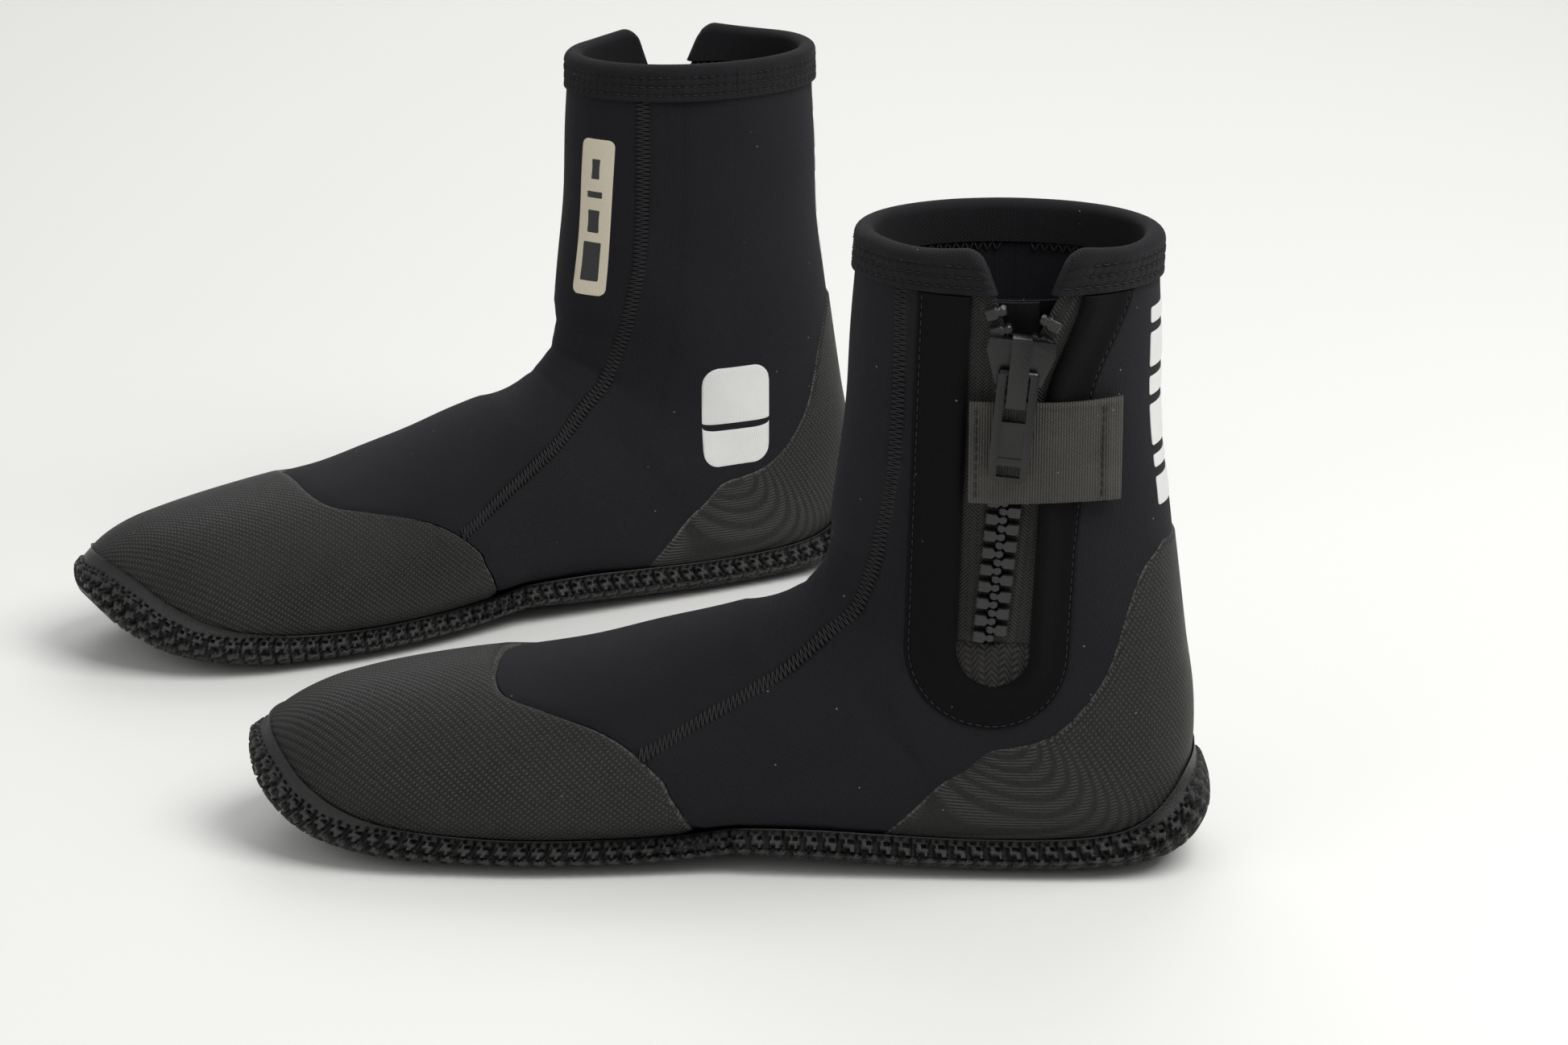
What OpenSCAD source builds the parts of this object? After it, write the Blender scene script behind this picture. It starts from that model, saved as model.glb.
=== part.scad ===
// A pair of zipped neoprene boots with rubber soles, toes pointing to -X.
// Each boot is drawn once in its own frame (x from heel to toe, y to the inner side, z up) and the
// left boot is the mirror image of the right one. Units are millimetres.

/* [Boot] */
// Length of the upper from the heel line to the toe tip
boot_length = 290; // [270:1:310]
// Height of the collar rim above the floor
boot_height = 204.5; // [195:0.5:215]
// Half width of the upper across the ball of the foot
ball_half_width = 46.5; // [42:0.5:50]
// Half width of the shaft at the ankle, where the zip passes
ankle_half_width = 35.3; // [33:0.1:38]
// Half width of the shaft at the rim
rim_half_width = 37.7; // [35:0.1:42]
// Thickness of the neoprene panels
neoprene = 4.2; // [3:0.1:5]

/* [Sole] */
// Thickness of the rubber under the foot
sole_under = 7; // [6:0.5:8]
// Thickness of the rubber round the side of the foot
sole_side = 4; // [3:0.5:5]

/* [Zip] */
// Distance that the slider travels
zip_travel = 84; // [60:1:84]
// Distance between two teeth on one tape
tooth_pitch = 5.5; // [4.5:0.1:7]
// Width across both rows of teeth
chain_width = 9.4; // [8:0.1:11]
// Length of the puller
puller_length = 36; // [28:1:38]

/* [Placing] */
// Place of the right boot's heel line
right_at = [181.1, -145.4]; // [-400:1:400]
// Turn of the right boot in degrees
right_turn = -4.6; // [-30:0.1:30]
// Place of the left boot's heel line
left_at = [72.1, 159.6]; // [-400:1:400]
// Turn of the left boot in degrees
left_turn = 26.1; // [-30:0.1:30]

/* [Hidden] */
PIECES = ["outsole", "midsole", "insole", "toe_cap", "heel_counter", "vamp", "inner_quarter",
    "outer_quarter", "shin_panel", "inner_shin_strip", "outer_shin_strip", "calf_panel",
    "collar_binding_front", "collar_binding_rear", "zip_welt_lower", "zip_welt_front",
    "zip_welt_rear", "zip_tape_lower", "zip_tape_front", "zip_tape_rear", "zip_teeth_lower",
    "zip_teeth_front", "zip_teeth_rear", "zip_base_webbing", "gusset_lower", "gusset_front",
    "gusset_rear", "zip_slider", "zip_puller", "keeper_strap"];

// ---- Smooth curves through a few points ----

function mix(a, b, t) = a + (b - a) * t;
function clamp(t, low, high) = min(high, max(low, t));
function slope(k, i) = let (a = max(0, i - 1), b = min(len(k) - 1, i + 1))
    (k[b][1] - k[a][1]) / (k[b][0] - k[a][0]);
function span_of(k, x, i = 0) = (i >= len(k) - 2 || x < k[i + 1][0]) ? i : span_of(k, x, i + 1);
// A cubic through the points k, level with its neighbours' chords, held flat past both ends
function curve(k, x) = let (i = span_of(k, x), h = k[i + 1][0] - k[i][0],
    t = clamp((x - k[i][0]) / h, 0, 1), a = slope(k, i) * h, b = slope(k, i + 1) * h)
    (2 * t ^ 3 - 3 * t ^ 2 + 1) * k[i][1] + (t ^ 3 - 2 * t ^ 2 + t) * a
    + (3 * t ^ 2 - 2 * t ^ 3) * k[i + 1][1] + (t ^ 3 - t ^ 2) * b;

// ---- The shape of the upper ----
// The upper is a bent tube. q runs along it: 0 at the toe tip, 1 where the straight foot ends,
// 2 at the ankle and 3 at the rim. Sections of the foot stand upright, those of the ankle fan
// round the pivot in front of the instep, and those of the shaft lie level.

pivot = [135, 110];
foot_run = boot_length - pivot[0];
nose_z = 32;
// Heights of the foot's top and bottom lines, and its half width, at x
top_line = [[135, 79], [165, 69.5], [195, 61.5], [225, 57], [250, 52.5], [272, 47.5], [290, 44]];
bottom_line = [[135, 11], [165, 8], [200, 7], [235, 7.5], [255, 10], [272, 14.5], [290, 19]];
width_line = [[135, 38], [165, 43], [200, ball_half_width], [230, ball_half_width - 1],
    [290, ball_half_width - 1]];
// Sideways bend of the foot's middle line at x
bend_line = [[135, 0], [200, -1.5], [250, 0], [290, 5]];
// Distance of the instep and half width of the section from the pivot, by fan angle
instep_reach = [[0, 31], [45, 30.2], [90, 27.5]];
heel_x = [[45, -8], [60, -9], [68, -8.5], [75, -5.5], [90, -0.5]];
fan_width = [[0, 38], [45, 35.6], [61, 34.4], [90, ankle_half_width]];
// Front and back lines of the shaft by height
shin_x = [[110, 107.5], [130, 105], [155, 102.5], [204.5, 99.5]];
calf_x = [[110, -0.5], [140, 3], [170, 4.5], [204.5, 5]];
// Where the section is widest, and how square its lower half is, by q
waist_at = [[0, 0.3], [1, 0.35], [1.5, 0.44], [2, 0.5], [3, 0.5]];
squareness = [[0, 3.2], [1, 4], [1.5, 4], [1.68, 3], [2, 2.3], [3, 2.1]];

// Round closing of the toe: 1 up to the start, then falling to 0 at the tip
function closing(x, start) = x <= start ? 1
    : sqrt(max(0, 1 - ((x - start) / (boot_length - start)) ^ 2));
// Distance from the pivot to the heel: the floor line and the back line, rounded into each other
heel_round = 10;
function heel_reach(a, under) = let (
    floor_run = (pivot[1] - mix(11, 7, clamp(a / 35, 0, 1)) + under) / cos(a),
    back_run = (pivot[0] - curve(heel_x, a) + under) / max(0.02, sin(a)))
    (floor_run ^ -heel_round + back_run ^ -heel_round) ^ (-1 / heel_round);
// A section at q: [top point, bottom point, half width, middle], grown by side and by under
function foot_section(q, side, under) = let (c = cos(90 * q), x = pivot[0] + foot_run * c,
    g = closing(x, boot_length - 26), w = closing(x, boot_length - 65),
    px = pivot[0] + (foot_run + side) * c)
    [[px, nose_z + g * (curve(top_line, x) - nose_z + side)],
     [px, nose_z - g * (nose_z - max(sole_under, curve(bottom_line, x)) + under)],
     w * (curve(width_line, x) + side), curve(bend_line, x)];
function fan_section(q, side, under) = let (a = 90 * (q - 1), d = [sin(a), cos(a)])
    [pivot - (curve(instep_reach, a) - side) * d, pivot - heel_reach(a, under) * d,
     curve(fan_width, a) + side, 0];
function shaft_section(q, side, under) = let (z = mix(pivot[1], boot_height, q - 2))
    [[curve(shin_x, z) + side, z], [curve(calf_x, z) - under, z],
     mix(ankle_half_width, rim_half_width, q - 2) + side, 0];
function section(q, side, under) = q < 1 ? foot_section(q, side, under)
    : q < 2 ? fan_section(q, side, under) : shaft_section(q, side, under);

// A point of the upper at q and at the angle a round the section (0 on top, 90 on the inner
// side, 180 at the bottom or back), moved outward by side and by under
function skin(q, a, side, under) = let (s = section(q, side, under), k = curve(waist_at, q),
    p = 2 / curve(squareness, q), co = cos(a), si = sin(a),
    h = co >= 0 ? k + (1 - k) * co : k - k * (-co) ^ p,
    y = s[2] * (co >= 0 ? abs(si) : abs(si) ^ p) * (si < 0 ? -1 : 1))
    [mix(s[1][0], s[0][0], h), y + s[3], mix(s[1][1], s[0][1], h)];
function on(q, a, d) = skin(q, a, d, d);

// The inner side's surface at x and z behind the toe, moved outward by d
function side_y(x, z, d) = let (level = z > pivot[1], a = atan2(pivot[0] - x, pivot[1] - z),
    q = level ? 2 + (z - pivot[1]) / (boot_height - pivot[1]) : 1 + a / 90,
    s = section(q, d, d), k = curve(waist_at, q), n = curve(squareness, q),
    span = s[0] - s[1], h = ([x, z] - s[1]) * span / (span * span),
    t = h > k ? ((h - k) / (1 - k)) ^ 2 : ((k - h) / k) ^ n)
    s[2] * max(0, 1 - t) ^ (h > k ? 0.5 : 1 / n);
function side_point(x, z, d) = [x, side_y(x, z, d), z];
// The angle of the shaft's section at q that stands at x
function angle_at(q, x) = let (s = section(q, 0, 0), h = (x - s[1][0]) / (s[0][0] - s[1][0]),
    k = curve(waist_at, q), p = 2 / curve(squareness, q))
    h > k ? acos((h - k) / (1 - k)) : acos(-((k - h) / k) ^ (1 / p));

// A closed sheet between two grids of m by n cells, outer and inner
module sheet(m, n, outer, inner) {
    grid = [for (i = [0:m], j = [0:n]) outer(i / m, j / n)];
    back = [for (i = [0:m], j = [0:n]) inner(i / m, j / n)];
    k = (m + 1) * (n + 1);
    id = function (i, j) i * (n + 1) + j;
    quad = function (a, b, c, d) [[a, b, c], [a, c, d]];
    faces = [
        for (i = [0:m - 1], j = [0:n - 1]) each
            quad(id(i, j), id(i, j + 1), id(i + 1, j + 1), id(i + 1, j)),
        for (i = [0:m - 1], j = [0:n - 1]) each
            quad(k + id(i, j), k + id(i + 1, j), k + id(i + 1, j + 1), k + id(i, j + 1)),
        for (i = [0:m - 1]) each quad(id(i, 0), id(i + 1, 0), k + id(i + 1, 0), k + id(i, 0)),
        for (i = [0:m - 1]) each quad(id(i, n), k + id(i, n), k + id(i + 1, n), id(i + 1, n)),
        for (j = [0:n - 1]) each quad(id(0, j), k + id(0, j), k + id(0, j + 1), id(0, j + 1)),
        for (j = [0:n - 1]) each quad(id(m, j), id(m, j + 1), k + id(m, j + 1), k + id(m, j))];
    polyhedron(concat(grid, back), faces, convexity = 8);
}

// ---- Seams ----

gap = 0.35;        // angle left between two panels
q_gap = 0.0026;    // run left between two panels
vamp_side = 73.5;  // angle where the zigzag seam meets the toe cap
lasted = 152;      // angle at which a panel ends, turned in under the foot
skin_in = -0.8;    // outer face of the neoprene below the rubber caps
ankle_q = 1.997;   // the foot's panels end just under the ankle
shaft_q = 2.003;   // and the shaft's begin just above it
cuff_q = 2.85;     // lower edge of the collar binding
hinge_x = 51;      // the outer side's line that the shaft opens round

// Angle of the zigzag seam between the front panel and the side panels
function zigzag(q) = curve([[0.885, vamp_side], [1, 60], [1.2, 49], [1.45, 38.5], [1.7, 38],
    [2, 47], [2.25, 50.5], [3, 47.5]], q);
// q of the toe cap's edge at an angle round the foot
function toe_cap_edge(a) = acos((curve([[0, 214], [20, 213], [33, 208], [43, 196], [60, 176],
    [80, 161], [100, 152], [152, 147]], abs(a)) - pivot[0]) / foot_run) / 90;
// Angle of the heel counter's edge
function counter_edge(q) = curve([[1.26, 152], [1.32, 119], [1.4, 99], [1.5, 91.5],
    [1.6, 91.5], [1.7, 102], [1.8, 118], [1.95, 142], [2, 166]], q);
// Lower limit of the quarters: turned in under the foot, then the heel counter
function quarter_end(q) = q < 1.26 ? lasted : min(lasted + 30, counter_edge(q));
// Height of the sole's upper edge at x
function sole_line(x) = curve([[-12, 38], [-8, 34], [-3, 27], [5, 19], [15, 14.5], [35, 12.5],
    [60, 12.5], [90, 14], [110, 15], [130, 14.5], [150, 12], [190, 11], [220, 12],
    [245, 15.5], [260, 20], [272, 27], [280, 34], [286, 38], [290, 38.5]], x);
// Angle at which the section q meets the sole's upper edge, found by halving
function sole_angle(q, low = 3, high = 176, n = 12) = n == 0 ? low
    : let (a = (low + high) / 2, p = on(q, a, 0))
    p[2] > sole_line(p[0]) ? sole_angle(q, a, high, n - 1) : sole_angle(q, low, a, n - 1);

// ---- The foot ----

// q of row r round the heel: the outsole and the heel counter share these rows
sole_end = 1.7;
counter_low = 1.262;
counter_high = 1.99;
function heel_q(r) = r <= 9 ? mix(counter_low, sole_end, r / 9)
    : mix(sole_end, counter_high, (r - 9) / 7);

module outsole() {
    q = function (u) u * 31 <= 22 ? mix(0.012, counter_low, u * 31 / 22) : heel_q(u * 31 - 22);
    a = function (u, v) let (edge = sole_angle(q(u))) mix(edge, 360 - edge, v);
    color([0.2, 0.2, 0.19]) difference() {
        sheet(31, 18,
            function (u, v) skin(q(u), a(u, v), sole_side, sole_under + 1.2),
            function (u, v) on(q(u), a(u, v), 1.2));
        // the tread is ground flat at the floor
        translate([-50, -80, -10]) cube([400, 160, 10]);
    }
}

module midsole() {
    color([0.25, 0.25, 0.25]) sheet(14, 4,
        function (u, v) on(mix(0.2, 1.24, u), mix(154, 206, v), -0.3),
        function (u, v) on(mix(0.2, 1.24, u), mix(154, 206, v), -4.6));
}

module insole() {
    color([0.12, 0.12, 0.13]) sheet(18, 8,
        function (u, v) on(mix(0.2, 1.6, u), mix(144, 216, v), -6),
        function (u, v) on(mix(0.2, 1.6, u), mix(144, 216, v), -9.5));
}

module toe_cap() {
    // the middle 12 columns are those of the vamp, so that their edges run together
    a = function (v) let (c = v * 20) c < 4 ? mix(-lasted, -vamp_side, c / 4)
        : c < 16 ? mix(-vamp_side, vamp_side, (c - 4) / 12) : mix(vamp_side, lasted, (c - 16) / 4);
    q = function (u, v) mix(0.06, toe_cap_edge(a(v)) - q_gap, u);
    color([0.23, 0.23, 0.21]) sheet(9, 20,
        function (u, v) on(q(u, v), a(v), 0),
        function (u, v) on(q(u, v), a(v), -neoprene));
}

module heel_counter() {
    q = function (u) heel_q(u * 16);
    a = function (u, v) mix(counter_edge(q(u)) + gap, 360 - counter_edge(q(u)) - gap, v);
    color([0.23, 0.23, 0.21]) sheet(16, 18,
        function (u, v) on(q(u), a(u, v), 0),
        function (u, v) on(q(u), a(u, v), -neoprene));
}

module vamp() {
    q = function (u, v) mix(toe_cap_edge(mix(-vamp_side, vamp_side, v)) + q_gap, ankle_q, u);
    a = function (u, v) (2 * v - 1) * (zigzag(q(u, v)) - gap);
    color([0.09, 0.09, 0.11]) sheet(14, 12,
        function (u, v) on(q(u, v), a(u, v), skin_in),
        function (u, v) on(q(u, v), a(u, v), -neoprene - 0.8));
}

// One side of the foot, from the zigzag seam down to the sole and the heel counter
module quarter() {
    q = function (u, v) mix(toe_cap_edge(mix(vamp_side, lasted, v)) + q_gap, ankle_q, u);
    a = function (u, v) mix(zigzag(q(u, v)) + gap, quarter_end(q(u, v)) - gap, v);
    sheet(18, 8,
        function (u, v) on(q(u, v), a(u, v), skin_in),
        function (u, v) on(q(u, v), a(u, v), -neoprene - 0.8));
}

module inner_quarter() {
    color([0.09, 0.09, 0.11]) difference() {
        quarter();
        zip_window(0.6);
    }
}

module outer_quarter() {
    color([0.09, 0.09, 0.11]) mirror([0, 1, 0]) quarter();
}

// ---- The shaft ----

// A panel of the shaft between two angles, which may change with q
module shaft_panel(m, n, from, to, q0 = shaft_q, q1 = cuff_q - 0.003, out = skin_in,
        in = -neoprene - 0.8) {
    q = function (u) mix(q0, q1, u);
    a = function (u, v) mix(from(q(u)), to(q(u)), v);
    sheet(m, n,
        function (u, v) on(q(u), a(u, v), out),
        function (u, v) on(q(u), a(u, v), in));
}

function hinge_angle(q, side) = angle_at(q, hinge_x + 0.3 * side);

module shin_panel() {
    color([0.09, 0.09, 0.11])
        shaft_panel(5, 8, function (q) gap - zigzag(q), function (q) zigzag(q) - gap);
}

module inner_shin_strip() {
    color([0.09, 0.09, 0.11])
        shaft_panel(5, 4, function (q) zigzag(q) + gap, function (q) angle_at(q, zip_front(q)));
}

module outer_shin_strip() {
    color([0.09, 0.09, 0.11]) shaft_panel(5, 4, function (q) -hinge_angle(q, 1),
        function (q) -zigzag(q) - gap);
}

module calf_panel() {
    color([0.09, 0.09, 0.11]) shaft_panel(5, 14, function (q) angle_at(q, zip_rear(q)),
        function (q) 360 - hinge_angle(q, -1));
}

// The knitted binding round the rim; it ends at the notch above the zip
module collar_binding_front() {
    color([0.13, 0.13, 0.15]) shaft_panel(3, 12, function (q) -hinge_angle(q, 1),
        function (q) angle_at(q, mix(54.5, 60, (q - cuff_q) / 0.15)), cuff_q, 3, 0.6,
        -neoprene - 1.3);
}

module collar_binding_rear() {
    color([0.13, 0.13, 0.15]) shaft_panel(3, 12,
        function (q) angle_at(q, mix(37.5, 31, (q - cuff_q) / 0.15)),
        function (q) 360 - hinge_angle(q, -1), cuff_q, 3, 0.6, -neoprene - 1.3);
}

// ---- The zip ----
// The chain runs along a straight line down the inner side.

chain_top = [46, 185];       // x and z of the chain's upper end
chain_low = [56, 74];        // and of its lower end
chain_y = [37.3, 34.7];      // its distance to the inner side at both ends
chain_tilt = atan2(chain_low[0] - chain_top[0], chain_top[1] - chain_low[1]);
chain_lean = atan2(chain_y[0] - chain_y[1], chain_top[1] - chain_low[1]);
window_low = [54.3, 76];     // centre of the window's round lower end
window_r = 11;               // and its radius
slider_z = 171;              // height of the slider's middle when the zip is closed
zip_q = function (z) 2 + (z - pivot[1]) / (boot_height - pivot[1]);

function chain_x(z) = mix(chain_low[0], chain_top[0], (z - chain_low[1]) / (chain_top[1] - chain_low[1]));
function chain_at(z) = [chain_x(z),
    mix(chain_y[1], chain_y[0], (z - chain_low[1]) / (chain_top[1] - chain_low[1])), z];
// Front and rear edges of the window that shows the zip, at height z
function window_front(z) = window_low[0] + window_r - (z - window_low[1]) * 0.028;
function window_rear(z) = window_low[0] - window_r - (z - window_low[1]) * 0.045;
function zip_front(q) = window_front(mix(pivot[1], boot_height, q - 2));
function zip_rear(q) = window_rear(mix(pivot[1], boot_height, q - 2));

// The window as a cutter through the inner side, wider by d
module zip_window(d) {
    translate([0, 60, 0]) rotate([90, 0, 0]) linear_extrude(40) {
        translate(window_low) circle(window_r + d, $fn = 48);
        polygon([[window_front(76) + d, 76], [window_front(120) + d, 120],
            [window_rear(120) - d, 120], [window_rear(76) - d, 76]]);
    }
}

// A sheet on the inner side between two side-view edges, at offsets out and in
module side_sheet(m, n, low, high, front, rear, out, in) {
    x = function (u, v) mix(front(mix(low, high, u)), rear(mix(low, high, u)), v);
    sheet(m, n,
        function (u, v) side_point(x(u, v), mix(low, high, u), out),
        function (u, v) side_point(x(u, v), mix(low, high, u), in));
}

module zip_welt_front() {
    color([0.11, 0.11, 0.12]) side_sheet(6, 4, 110.3, 189.8, function (z) window_front(z) + 17,
        function (z) window_front(z) + 0.1, 1.6, 0);
}

module zip_welt_rear() {
    color([0.11, 0.11, 0.12]) side_sheet(6, 4, 110.3, 189.8, function (z) window_rear(z) - 0.1,
        function (z) window_rear(z) - 13 - (z - 110) * 0.04, 1.6, 0);
}

// The U round the window's lower end: straight, round and straight again
module zip_welt_lower() {
    edge = function (u, front, rear, low) let (b = clamp((u - 0.2) / 0.6, 0, 1) * 180,
        z0 = window_low[1], up = max(0, 0.2 - u, u - 0.8) / 0.2 * (109.7 - z0),
        x0 = b < 90 ? front : rear)
        [window_low[0] + x0 * cos(b) - up * (b < 90 ? 0.028 : 0.045), z0 + up - low * sin(b)];
    at = function (u, v) mix(edge(u, 28, 24, 25.5), edge(u, window_r + 0.1, window_r + 0.1,
        window_r + 0.1), v);
    point = function (u, v, d) side_point(at(u, v)[0], at(u, v)[1], d);
    color([0.11, 0.11, 0.12]) sheet(20, 4, function (u, v) point(u, v, 1.6),
        function (u, v) point(u, v, 0));
}

module zip_tape(low, high, side) {
    color([0.14, 0.14, 0.14]) if (side > 0)
        side_sheet(4, 2, low, high, function (z) window_front(z) - 0.8,
            function (z) chain_x(z) + 1, -1.6, -2.6);
    else
        side_sheet(4, 2, low, high, function (z) chain_x(z) - 1,
            function (z) window_rear(z) + 0.8, -1.6, -2.6);
}

module zip_tape_lower() {
    zip_tape(79.5, 109.6, 1);
    zip_tape(79.5, 109.6, -1);
}

module zip_tape_front() { zip_tape(110.4, 189, 1); }
module zip_tape_rear() { zip_tape(110.4, 189, -1); }

// Moulded teeth of one row between two heights; the two rows stand half a pitch apart
module teeth(low, high, side) {
    shift = side > 0 ? 0 : tooth_pitch / 2;
    width = chain_width / 2 - 0.7;
    color([0.16, 0.16, 0.17])
        for (z = [81 + shift:tooth_pitch:187]) if (z - 1.3 > low && z + 1.3 < high)
            translate(chain_at(z)) rotate([0, -chain_tilt, 0])
                translate([side > 0 ? 0.7 : -0.7 - width, -1.2, -1.3]) cube([width, 3, 2.6]);
}

module zip_teeth_lower() {
    teeth(79.5, 109.7, 1);
    teeth(79.5, 109.7, -1);
}

module zip_teeth_front() { teeth(110.3, 190, 1); }
module zip_teeth_rear() { teeth(110.3, 190, -1); }

module zip_base_webbing() {
    half = function (z) z > window_low[1] ? window_r - 0.8
        : sqrt(max(0, (window_r - 0.8) ^ 2 - (window_low[1] - z) ^ 2));
    color([0.17, 0.17, 0.16]) side_sheet(6, 4, 65.9, 78.6,
        function (z) window_low[0] + half(z), function (z) window_low[0] - half(z), -0.6, -2.6);
}

// The folded flap behind the zip that keeps the water out
module gusset_lower() {
    color([0.1, 0.1, 0.11]) side_sheet(4, 4, 60, 109.4, function (z) 71, function (z) 37,
        -5.9, -6.9);
}

module gusset_front() {
    color([0.1, 0.1, 0.11]) side_sheet(4, 4, 110.6, 187, function (z) 74, function (z) 42,
        -5.9, -6.9);
}

module gusset_rear() {
    color([0.1, 0.1, 0.11]) side_sheet(4, 4, 110.6, 187, function (z) 60, function (z) 30,
        -8.6, -9.6);
}

// Things on the chain stand in its own frame: x across to the toe, y outward, z up the chain
module on_chain(z) {
    translate(chain_at(z)) rotate([-chain_lean, 0, 0]) rotate([0, -chain_tilt, 0]) children();
}

bridge_w = 6;        // width of the slider's bridge
hinge_out = 5.8;     // the puller's axis above the chain
hinge_down = 3;      // and below the slider's middle

module zip_slider() {
    color([0.08, 0.08, 0.08]) on_chain(slider_z) {
        // outer plate: wide at the top, narrow at the bottom
        translate([0, 4.1, 0]) rotate([90, 0, 0]) linear_extrude(1.7)
            polygon([[-10, 7], [10, 7], [10.4, 3], [7, -7], [-7, -7], [-10.4, 3]]);
        // inner plate and the blade that parts the two rows
        translate([-5.5, -5.2, -6.5]) cube([11, 1.3, 13]);
        translate([-0.35, -4, 1]) cube([0.7, 6.6, 5]);
        // bridge that holds the puller: two feet and a beam
        translate([-bridge_w / 2, 4, 6]) cube([bridge_w, 5.2, 3]);
        translate([-bridge_w / 2, 7.5, -13]) cube([bridge_w, 1.7, 20]);
        translate([-bridge_w / 2, 4.2, -13]) cube([bridge_w, 3.6, 2]);
    }
}

module zip_puller() {
    w = 12.4;
    t = 2.2;
    color([0.09, 0.09, 0.09]) on_chain(slider_z) translate([0, hinge_out, -hinge_down]) {
        rotate([0, 90, 0]) cylinder(h = w - 1, r = 1.1, center = true, $fn = 32);
        difference() {
            translate([0, t / 2, 0]) rotate([90, 0, 0]) linear_extrude(t) difference() {
                union() {
                    translate([-w / 2, -puller_length + 6]) square([w, puller_length - 6]);
                    translate([-w / 2 + 2, -puller_length + 2]) square([w - 4, 6]);
                    for (s = [-1, 1]) translate([s * (w / 2 - 3), -puller_length + 5])
                        circle(3, $fn = 32);
                }
                translate([-3.6, -15]) square([7.2, 17]);
                translate([-3.6, -puller_length + 3.5]) square([7.2, 3.6]);
            }
            // shallow blank panel
            translate([-3.6, t / 2 - 0.4, -26.5]) cube([7.2, 1, 9]);
        }
    }
}

strap_low = 126;
strap_high = 158;

module keeper_strap() {
    color([0.27, 0.26, 0.24]) side_sheet(3, 8, strap_low, strap_high, function (z) 62.5,
        function (z) 16, 3.9, 2.5);
}

// ---- Both boots ----

module piece(name) {
    if (name == "outsole") outsole();
    if (name == "midsole") midsole();
    if (name == "insole") insole();
    if (name == "toe_cap") toe_cap();
    if (name == "heel_counter") heel_counter();
    if (name == "vamp") vamp();
    if (name == "inner_quarter") inner_quarter();
    if (name == "outer_quarter") outer_quarter();
    if (name == "shin_panel") shin_panel();
    if (name == "inner_shin_strip") inner_shin_strip();
    if (name == "outer_shin_strip") outer_shin_strip();
    if (name == "calf_panel") calf_panel();
    if (name == "collar_binding_front") collar_binding_front();
    if (name == "collar_binding_rear") collar_binding_rear();
    if (name == "zip_welt_lower") zip_welt_lower();
    if (name == "zip_welt_front") zip_welt_front();
    if (name == "zip_welt_rear") zip_welt_rear();
    if (name == "zip_tape_lower") zip_tape_lower();
    if (name == "zip_tape_front") zip_tape_front();
    if (name == "zip_tape_rear") zip_tape_rear();
    if (name == "zip_teeth_lower") zip_teeth_lower();
    if (name == "zip_teeth_front") zip_teeth_front();
    if (name == "zip_teeth_rear") zip_teeth_rear();
    if (name == "zip_base_webbing") zip_base_webbing();
    if (name == "gusset_lower") gusset_lower();
    if (name == "gusset_front") gusset_front();
    if (name == "gusset_rear") gusset_rear();
    if (name == "zip_slider") zip_slider();
    if (name == "zip_puller") zip_puller();
    if (name == "keeper_strap") keeper_strap();
}

module right_boot() {
    translate([right_at[0], right_at[1], 0]) rotate([0, 0, 180 + right_turn]) children();
}

module left_boot() {
    translate([left_at[0], left_at[1], 0]) rotate([0, 0, 180 + left_turn]) mirror([0, 1, 0])
        children();
}

for (name = PIECES) {
    right_boot() piece(name);
    left_boot() piece(name);
}
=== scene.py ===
# A pair of zipped neoprene boots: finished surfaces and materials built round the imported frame.
# Shapes are worked out in millimetres in a boot's own frame (x heel to toe, y to the inner side,
# z up) and placed in the shared frame in metres.
import math
import bpy
import bmesh
import numpy as np
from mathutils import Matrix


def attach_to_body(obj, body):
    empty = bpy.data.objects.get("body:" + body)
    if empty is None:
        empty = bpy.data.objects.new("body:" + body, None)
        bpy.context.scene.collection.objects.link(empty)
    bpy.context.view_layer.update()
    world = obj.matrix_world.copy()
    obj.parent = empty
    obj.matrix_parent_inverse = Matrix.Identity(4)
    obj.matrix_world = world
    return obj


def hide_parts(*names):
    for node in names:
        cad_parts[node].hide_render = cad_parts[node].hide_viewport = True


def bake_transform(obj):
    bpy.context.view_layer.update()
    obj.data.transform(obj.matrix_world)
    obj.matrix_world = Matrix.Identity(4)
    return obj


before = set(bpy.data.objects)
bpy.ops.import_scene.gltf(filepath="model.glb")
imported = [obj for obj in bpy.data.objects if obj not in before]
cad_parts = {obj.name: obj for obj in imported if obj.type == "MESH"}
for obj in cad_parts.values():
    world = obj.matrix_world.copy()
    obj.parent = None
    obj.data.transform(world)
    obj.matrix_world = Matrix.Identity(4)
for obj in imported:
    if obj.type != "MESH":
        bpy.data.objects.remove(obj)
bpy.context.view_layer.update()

rng = np.random.default_rng(7)
boots = {
    "right": {"at": (181.1, -145.4), "turn": -4.6, "mirror": 1},
    "left": {"at": (72.1, 159.6), "turn": 26.1, "mirror": -1},
}

# ---- The shape of the upper, a bent tube: q 0 toe tip, 1 end of the straight foot, 2 ankle, 3 rim ----

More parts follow.
